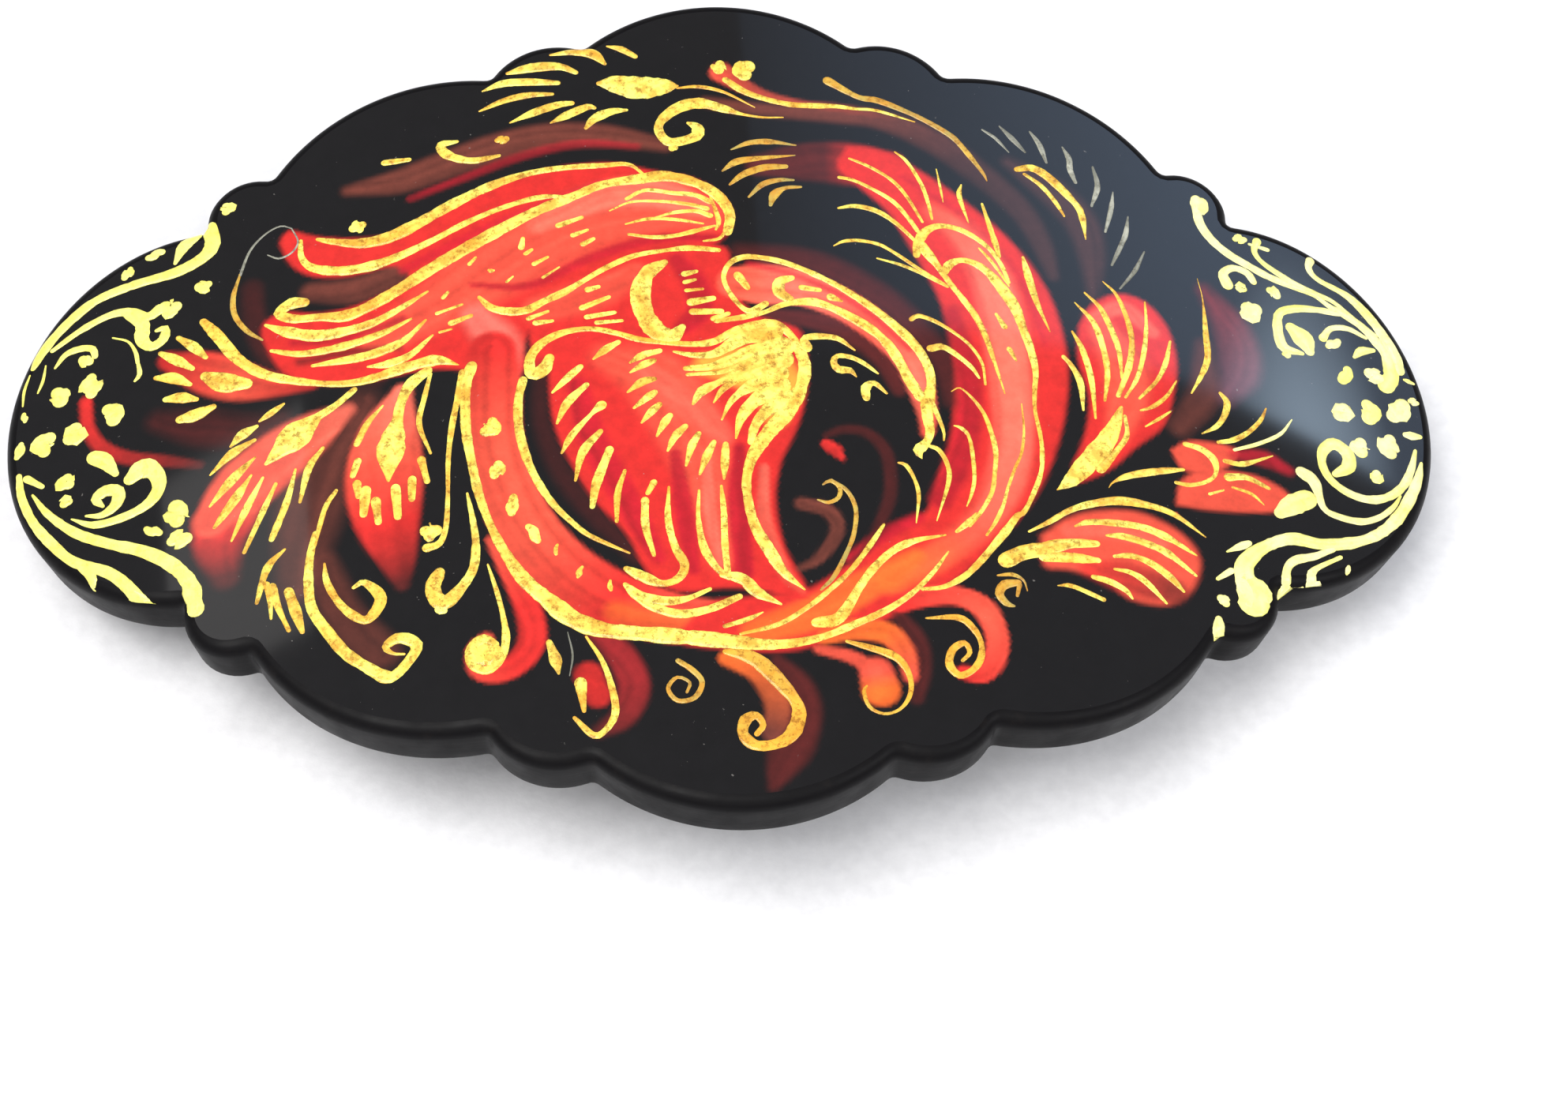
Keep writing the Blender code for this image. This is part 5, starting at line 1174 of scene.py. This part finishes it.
def edge_rings():
    """The rounded edges and the wall between them, from the face's rim to the back's, as (loop, depth)."""
    rings = []
    for step in range(EDGE_STEPS + 1):
        turn = math.pi / 2 * step / EDGE_STEPS
        inset = EDGE_ROUND * (1 - math.sin(turn))
        rings.append((inset_loop(OUTLINE, inset), FACE_DEPTH + EDGE_ROUND * (1 - math.cos(turn))))
    wall = PLATE_THICKNESS - FACE_DEPTH - EDGE_ROUND - BACK_ROUND
    for step in range(1, WALL_STEPS):
        rings.append((OUTLINE, FACE_DEPTH + EDGE_ROUND + wall * step / WALL_STEPS))
    for step in range(EDGE_STEPS + 1):
        turn = math.pi / 2 * step / EDGE_STEPS
        inset = BACK_ROUND * (1 - math.cos(turn))
        rings.append((inset_loop(OUTLINE, inset), PLATE_THICKNESS - BACK_ROUND * (1 - math.sin(turn))))
    return rings


def plate_points(face_plan, middle, back_plan):
    """Plan places, depths and colours of all the plate's points: face, the rings between, and back."""
    count = len(OUTLINE)
    plan = np.vstack([face_plan, *[ring for ring, _ in middle], back_plan])
    depths = [np.full(len(face_plan), FACE_DEPTH)]
    depths += [np.full(count, level) for _, level in middle]
    depths.append(np.full(len(back_plan), PLATE_THICKNESS))
    colours = np.tile(np.array(TONES["black"]), (len(plan), 1))
    painted = len(face_plan) + count * (EDGE_STEPS - 1)
    colours[:painted] = underpainting(plan[:painted])
    return plan, np.concatenate(depths), colours


def plate_faces(face_triangles, starts, back_triangles):
    """The plate's faces: the painted face, bands between rings that start at those points, and the back."""
    count = len(OUTLINE)
    faces = [tuple(triangle) for triangle in face_triangles]
    for first, second in zip(starts, starts[1:]):
        for step in range(count):
            following = (step + 1) % count
            faces.append((first + step, second + step, second + following, first + following))
    for triangle in back_triangles:
        faces.append(tuple(starts[-1] + corner for corner in reversed(triangle)))
    return faces


def sharpen_rim(mesh):
    """Keep the face's shading flat up to its rim, which its first points run round."""
    count = len(OUTLINE)
    for edge in mesh.edges:
        first, second = edge.vertices
        if max(first, second) < count and abs(first - second) in (1, count - 1):
            edge.use_edge_sharp = True


def make_plate():
    """The lacquered plate, closed, with the underpainting on its face."""
    rings = edge_rings()
    middle = rings[1:-1]
    face_plan, face_triangles = filled(rings[0][0], FACE_SPACING)
    back_plan, back_triangles = filled(rings[-1][0], BACK_SPACING)
    plan, depth, colours = plate_points(face_plan, middle, back_plan)
    starts = [0, *[len(face_plan) + len(OUTLINE) * index for index in range(len(middle) + 1)]]
    faces = plate_faces(face_triangles, starts, back_triangles)
    plate = add_mesh("painted_plate", bend(plan, depth), faces, colours)
    plate.data.materials.append(lacquer_material())
    plate.data.materials.append(edge_material())
    for polygon in plate.data.polygons[len(face_triangles) :]:
        polygon.material_index = 1
    sharpen_rim(plate.data)
    return plate


def settle(plan, rise):
    """Place plan points on the painted face, raised by rise and kept inside the plate's edge."""
    inside, nearest = from_edge(plan, OUTLINE[::3])
    short = STROKE_MARGIN - inside
    outward = nearest - plan
    outward /= np.maximum(np.linalg.norm(outward, axis=1, keepdims=True), 1e-9)
    moved = np.where((short > 0)[:, None], nearest - outward * np.sign(inside)[:, None] * STROKE_MARGIN, plan)
    inside = np.maximum(inside, STROKE_MARGIN)
    fall = np.maximum(EDGE_ROUND - inside, 0)
    depth = FACE_DEPTH + EDGE_ROUND - np.sqrt(EDGE_ROUND**2 - fall**2)
    return bend(moved, depth - rise)


def crown_height(width):
    """How far paint of this width stands off the face."""
    return np.minimum(0.062, 0.022 + 0.045 * width)


def with_caps(path):
    """The path with short rounded ends added."""
    ends = []
    for tip, inner in ((path[0], path[1]), (path[-1], path[-2])):
        outward = (tip[:2] - inner[:2]) / max(np.linalg.norm(tip[:2] - inner[:2]), 1e-9)
        cap = []
        for share in CAP:
            place = tip[:2] + outward * tip[2] / 2 * share
            cap.append((place[0], place[1], tip[2] * math.sqrt(1 - share * share)))
        ends.append(cap)
    return np.vstack([ends[0], path, ends[1][::-1]])


def uneven(count, spacing, low, high, rng):
    """A value for each of count stations that wanders between low and high, changing every few stations."""
    knots = np.arange(0, count + spacing, spacing)
    return np.interp(np.arange(count), knots, rng.uniform(low, high, len(knots)))


def tube_faces(stations, columns):
    """The faces of a closed tube: bands between its stations, and a cap at each end."""
    faces = []
    for station in range(stations - 1):
        near, far = station * columns, (station + 1) * columns
        for column in range(columns):
            following = (column + 1) % columns
            faces.append((near + column, far + column, far + following, near + following))
    faces.append(tuple(range(columns)))
    faces.append(tuple((stations - 1) * columns + column for column in reversed(range(columns))))
    return faces


def ribbon(points, rng):
    """One raised brush stroke: its places on the plate, its faces, and its width at each station."""
    path = smooth_path(points, STROKE_SPACING)
    waver = uneven(len(path), KNOT_STATIONS, -1, 1, rng)
    path[:, 2] *= 1 + 0.1 * waver + 0.06 * rng.uniform(-1, 1, len(path))
    path = with_caps(path)
    along = np.gradient(path[:, :2], axis=0)
    along /= np.maximum(np.linalg.norm(along, axis=1, keepdims=True), 1e-9)
    normal = np.stack([-along[:, 1], along[:, 0]], axis=1)
    height = crown_height(path[:, 2])
    places, rises = [], []
    for across, lift in CROWN:
        places.append(path[:, :2] + normal * (path[:, 2] * across / 2)[:, None])
        rises.append(np.where(lift > 0, height * lift, -STROKE_SINK))
    plan = np.stack(places, axis=1).reshape(-1, 2)
    rise = np.stack(rises, axis=1).ravel()
    return settle(plan, rise), tube_faces(len(path), len(CROWN)), path[:, 2]


def dab_path(x, y, half_x, half_y, degrees, rng):
    """An uneven dab of paint as a short, fat stroke."""
    angle = math.radians(degrees + rng.uniform(-25, 25))
    long_half, short_half = max(half_x, half_y), min(half_x, half_y)
    if half_y > half_x:
        angle += math.pi / 2
    reach = max(long_half - short_half * 0.75, 0.15)
    along = np.array([math.cos(angle), math.sin(angle)]) * reach
    aside = np.array([-along[1], along[0]]) / reach * short_half * 0.22
    path = []
    for share, fat in ((-1, 0.62), (-0.35, 0.95), (0.35, 0.92), (1, 0.6)):
        place = np.array([x, y]) + along * share + aside * rng.uniform(-1, 1)
        path.append((place[0], place[1], short_half * 2 * fat * rng.uniform(0.82, 1.12)))
    return path


def stroke_colours(tone, widths, rng):
    """Colours along one stroke: the paint runs thin and warm in places, and at narrow ends."""
    base, thin = np.array(TONES[tone]), np.array(TONES[THINNED[tone]])
    patchy = uneven(len(widths), PATCH_STATIONS, -0.3, 0.75, rng)
    narrow = np.clip((0.42 - widths) * 1.4, 0, 0.45)
    bristles = rng.uniform(-0.25, 0.3, len(CROWN))
    mix = np.clip((patchy + narrow)[:, None] + bristles[None], 0, 0.9).ravel()[:, None]
    return np.clip((base * (1 - mix) + thin * mix) * rng.uniform(0.94, 1.06), 0, 1)


def make_paint_piece(name, tone, strokes, dabs, rng):
    """All strokes of one region as one piece."""
    paths = strokes + [dab_path(*dab, rng) for dab in dabs]
    points, faces, colours = [], [], []
    offset = 0
    for path in paths:
        places, stroke_faces, widths = ribbon(path, rng)
        points.append(places)
        colours.append(stroke_colours(tone, widths, rng))
        faces.extend(tuple(index + offset for index in face) for face in stroke_faces)
        offset += len(places)
    thing = add_mesh(name, np.vstack(points), faces, np.vstack(colours))
    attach(thing, "barrette")
    return thing


# ---------------------------------------------------------------- materials


class Shader:
    """A node material under construction."""

    def __init__(self, name):
        self.material = bpy.data.materials.new(name)
        self.material.use_nodes = True
        self.tree = self.material.node_tree
        self.surface = self.tree.nodes["Principled BSDF"]
        place = self.add("ShaderNodeTexCoord")
        self.place = place.outputs["Object"]

    def add(self, kind, **settings):
        node = self.tree.nodes.new(kind)
        for key, value in settings.items():
            setattr(node, key, value)
        return node

    def link(self, source, target):
        self.tree.links.new(source, target)

    def set(self, **values):
        for key, value in values.items():
            self.surface.inputs[key.replace("_", " ").title().replace("Ior", "IOR")].default_value = value

    def stretched(self, scale):
        """Object coordinates multiplied by a scale on each axis."""
        mapping = self.add("ShaderNodeMapping")
        mapping.inputs["Scale"].default_value = scale
        self.link(self.place, mapping.inputs["Vector"])
        return mapping.outputs["Vector"]

    def noise(self, scale, detail=4.0, roughness=0.55, vector=None):
        node = self.add("ShaderNodeTexNoise")
        node.inputs["Scale"].default_value = scale
        node.inputs["Detail"].default_value = detail
        node.inputs["Roughness"].default_value = roughness
        self.link(vector or self.place, node.inputs["Vector"])
        return node.outputs["Fac"]

    def ranged(self, source, from_low, from_high, to_low, to_high):
        """The source remapped from one range to another, and held inside it."""
        node = self.add("ShaderNodeMapRange")
        labels = ("From Min", "From Max", "To Min", "To Max")
        for label, value in zip(labels, (from_low, from_high, to_low, to_high)):
            node.inputs[label].default_value = value
        self.link(source, node.inputs["Value"])
        return node.outputs["Result"]

    def mixed(self, factor, first, second, blend="MIX"):
        """Two colours or colour outputs mixed by a factor or factor output."""
        node = self.add("ShaderNodeMix", data_type="RGBA", blend_type=blend)
        for value, socket in ((factor, node.inputs[0]), (first, node.inputs[6]), (second, node.inputs[7])):
            if isinstance(value, bpy.types.NodeSocket):
                self.link(value, socket)
            elif isinstance(value, tuple):
                socket.default_value = (*value, 1)
            else:
                socket.default_value = value
        return node.outputs[2]

    def bump(self, source, distance, strength):
        node = self.add("ShaderNodeBump")
        node.inputs["Distance"].default_value = distance
        node.inputs["Strength"].default_value = strength
        self.link(source, node.inputs["Height"])
        self.link(node.outputs["Normal"], self.surface.inputs["Normal"])

    def tone(self):
        node = self.add("ShaderNodeAttribute", attribute_name="tone")
        return node.outputs["Color"]


def lacquer_material():
    """Varnished papier-mache: the painted colours, thin brush grain, a few dust specks, a glossy coat."""
    shader = Shader("varnished_painting")
    grain = shader.ranged(shader.noise(900, 6, 0.7), 0.3, 0.75, 0.78, 1.12)
    grained = shader.add("ShaderNodeVectorMath", operation="SCALE")
    shader.link(shader.tone(), grained.inputs[0])
    shader.link(grain, grained.inputs["Scale"])
    specks = shader.ranged(shader.noise(2600, 2, 0.5), 0.755, 0.8, 0.0, 0.35)
    colour = shader.mixed(specks, grained.outputs[0], (0.32, 0.3, 0.28))
    shader.link(colour, shader.surface.inputs["Base Color"])
    shader.link(shader.ranged(shader.noise(500), 0.3, 0.7, 0.3, 0.42), shader.surface.inputs["Roughness"])
    shader.set(coat_weight=1.0, coat_roughness=0.05, specular_ior_level=0.05)
    shader.bump(shader.noise(260, 3), 0.02 * MM, 0.35)
    return shader.material


def edge_material():
    """The plate's sanded wall and its back: the same black lacquer, one thin coat over the brush marks."""
    shader = Shader("satin_black_lacquer")
    wear = shader.ranged(shader.noise(700, 5, 0.7), 0.55, 0.75, 0.0, 0.5)
    colour = shader.mixed(wear, TONES["black"], (0.009, 0.007, 0.0065))
    shader.link(colour, shader.surface.inputs["Base Color"])
    shader.link(shader.ranged(shader.noise(400, 4), 0.3, 0.7, 0.38, 0.55), shader.surface.inputs["Roughness"])
    shader.set(specular_ior_level=0.1)
    brushed = shader.noise(1.0, 3, 0.6, shader.stretched((500, 2600, 2600)))
    shader.bump(brushed, 0.03 * MM, 0.4)
    return shader.material


def paint_material(name, dark, dark_share, cloud_share):
    """Thick paint with pigment grain: darker flecks where the brush ran dry."""
    shader = Shader(name)
    flecks = shader.ranged(shader.noise(2000, 5, 0.8), 0.5, 0.62, 0.0, dark_share)
    clouds = shader.ranged(shader.noise(800, 4, 0.65), 0.42, 0.62, 0.0, cloud_share)
    clouded = shader.mixed(clouds, shader.tone(), dark)
    colour = shader.mixed(flecks, clouded, (dark[0] * 0.42, dark[1] * 0.36, dark[2] * 0.3))
    shader.link(colour, shader.surface.inputs["Base Color"])
    shader.link(shader.ranged(flecks, 0.0, 1.0, 0.34, 0.6), shader.surface.inputs["Roughness"])
    shader.set(coat_weight=0.5, coat_roughness=0.08, specular_ior_level=0.15)
    shader.bump(shader.noise(1900, 3), 0.02 * MM, 0.5)
    return shader.material


def metal_material(name, colour, roughness, grain_scale, stain):
    """Sheet metal with fine rolling lines, uneven shine and slight stains."""
    shader = Shader(name)
    lines = shader.noise(1.0, 3, 0.6, shader.stretched(grain_scale))
    stains = shader.ranged(shader.noise(260, 4, 0.6), 0.5, 0.75, 0.0, 0.55)
    shader.link(shader.mixed(stains, colour, stain), shader.surface.inputs["Base Color"])
    shine = shader.ranged(lines, 0.25, 0.75, roughness - 0.08, roughness + 0.12)
    shader.link(shine, shader.surface.inputs["Roughness"])
    shader.set(metallic=1.0)
    shader.bump(lines, 0.012 * MM, 0.4)
    return shader.material


def glue_material():
    """Clear yellowish epoxy with small bubbles."""
    shader = Shader("epoxy_glue")
    bubbles = shader.ranged(shader.noise(2400, 2), 0.6, 0.68, 0.0, 0.6)
    colour = shader.mixed(bubbles, (0.62, 0.5, 0.24), (0.82, 0.76, 0.56))
    shader.link(colour, shader.surface.inputs["Base Color"])
    shader.link(shader.ranged(bubbles, 0, 1, 0.22, 0.4), shader.surface.inputs["Roughness"])
    shader.set(coat_weight=0.5, coat_roughness=0.1)
    shader.bump(shader.noise(420, 2), 0.05 * MM, 0.5)
    return shader.material


def dress(node, material):
    """Give a CAD piece its material, and break its sharp edges a little."""
    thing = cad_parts[node]
    thing.data.materials.clear()
    thing.data.materials.append(material)
    weld = thing.modifiers.new("weld", "WELD")
    weld.merge_threshold = 0.002 * MM
    bevel = thing.modifiers.new("broken_edges", "BEVEL")
    bevel.width = 0.05 * MM
    bevel.segments = 2
    bevel.limit_method = "ANGLE"
    bevel.angle_limit = math.radians(40)


def make_clasp():
    """Materials for every piece of the clasp."""
    plated = metal_material(
        "nickel_plated_steel", (0.62, 0.61, 0.58), 0.24, (300, 9000, 9000), (0.4, 0.37, 0.33)
    )
    sprung = metal_material(
        "spring_steel", (0.4, 0.41, 0.43), 0.32, (400, 12000, 12000), (0.26, 0.24, 0.22)
    )
    turned = metal_material(
        "turned_pin_steel", (0.6, 0.59, 0.57), 0.2, (9000, 300, 9000), (0.38, 0.36, 0.32)
    )
    glue = glue_material()
    for node in ("clasp_base", "closing_arm"):
        dress(node, plated)
    for node in ("hinge_pin", "catch_rivet"):
        dress(node, turned)
    for node in ("leaf_spring", "catch_bridge", "catch_tab_front", "catch_tab_back"):
        dress(node, sprung)
    for node in ("glue_pad_hinge_end", "glue_pad_catch_end"):
        dress(node, glue)


def make_painted_plate():
    """The plate and all its raised strokes."""
    plate = make_plate()
    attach(plate, "barrette")
    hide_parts("lacquer_plate")
    paints = {
        "gold": paint_material("gold_paint", (0.6, 0.25, 0.02), 0.75, 0.7),
        "lemon": paint_material("lemon_gold_paint", (0.7, 0.46, 0.05), 0.35, 0.35),
        "cream": paint_material("cream_gold_paint", (0.75, 0.6, 0.12), 0.25, 0.3),
        "silver": paint_material("silver_paint", (0.12, 0.12, 0.09), 0.6, 0.5),
    }
    rng = np.random.default_rng(STROKE_SEED)
    for name, tone, strokes, dabs, slot_name in PAINT_PIECES:
        thing = make_paint_piece(name, tone, strokes, dabs, rng)
        thing.data.materials.append(paints.get(tone, paints["gold"]))


# ---------------------------------------------------------------- floor, light and camera


def make_camera():
    """The camera at the photograph's angle."""
    level = math.cos(ELEVATION)
    back = Vector((math.sin(AZIMUTH) * level, -math.cos(AZIMUTH) * level, math.sin(ELEVATION)))
    right = Vector((math.cos(AZIMUTH), math.sin(AZIMUTH), 0))
    up = back.cross(right)
    rolled_right = right * math.cos(ROLL) + up * math.sin(ROLL)
    rolled_up = up * math.cos(ROLL) - right * math.sin(ROLL)
    data = bpy.data.cameras.new("camera")
    data.lens = LENS
    data.sensor_width = SENSOR_WIDTH
    data.clip_start = CLIP_START * MM
    camera = bpy.data.objects.new("camera", data)
    rotation = Matrix((rolled_right, rolled_up, back)).transposed().to_4x4()
    camera.matrix_world = Matrix.Translation((Vector(TARGET) + back * DISTANCE) * MM) @ rotation
    bpy.context.scene.collection.objects.link(camera)
    bpy.context.scene.camera = camera


def make_floor():
    """A plain pale sheet with a faint paper tooth."""
    mesh = bpy.data.meshes.new("floor")
    corners = [(x * FLOOR_HALF, y * FLOOR_HALF, 0) for x, y in ((-1, -1), (1, -1), (1, 1), (-1, 1))]
    mesh.from_pydata(corners, [], [(0, 1, 2, 3)])
    floor = bpy.data.objects.new("floor", mesh)
    bpy.context.scene.collection.objects.link(floor)
    shader = Shader("pale_paper")
    shade = shader.ranged(shader.noise(900, 4), 0.3, 0.7, 0.0, 1.0)
    colour = shader.mixed(shade, (0.72, 0.72, 0.74), (0.79, 0.79, 0.81))
    shader.link(colour, shader.surface.inputs["Base Color"])
    shader.set(roughness=0.9, specular_ior_level=0.1)
    shader.bump(shader.noise(1500, 3), 0.05 * MM, 0.5)
    mesh.materials.append(shader.material)


def make_light(name, place, aim, size, power, colour, level, spread):
    """A rectangular soft light at place, turned towards aim, with its width along level."""
    data = bpy.data.lights.new(name, "AREA")
    data.shape = "RECTANGLE"
    data.size, data.size_y = size
    data.energy = power
    data.color = colour
    data.spread = spread
    light = bpy.data.objects.new(name, data)
    away = (Vector(place) - Vector(aim)).normalized()
    width = Vector(level)
    width = (width - away * width.dot(away)).normalized()
    rotation = Matrix((width, away.cross(width), away)).transposed().to_4x4()
    light.matrix_world = Matrix.Translation(place) @ rotation
    bpy.context.scene.collection.objects.link(light)


def make_lights():
    """Dim even surroundings and all the lights."""
    world = bpy.data.worlds.new("surroundings")
    world.use_nodes = True
    world.node_tree.nodes["Background"].inputs["Color"].default_value = SURROUNDINGS
    bpy.context.scene.world = world
    for light in LIGHTS:
        make_light(*light)


bpy.context.scene.view_settings.view_transform = "Standard"
make_clasp()
make_painted_plate()
make_floor()
make_lights()
make_camera()
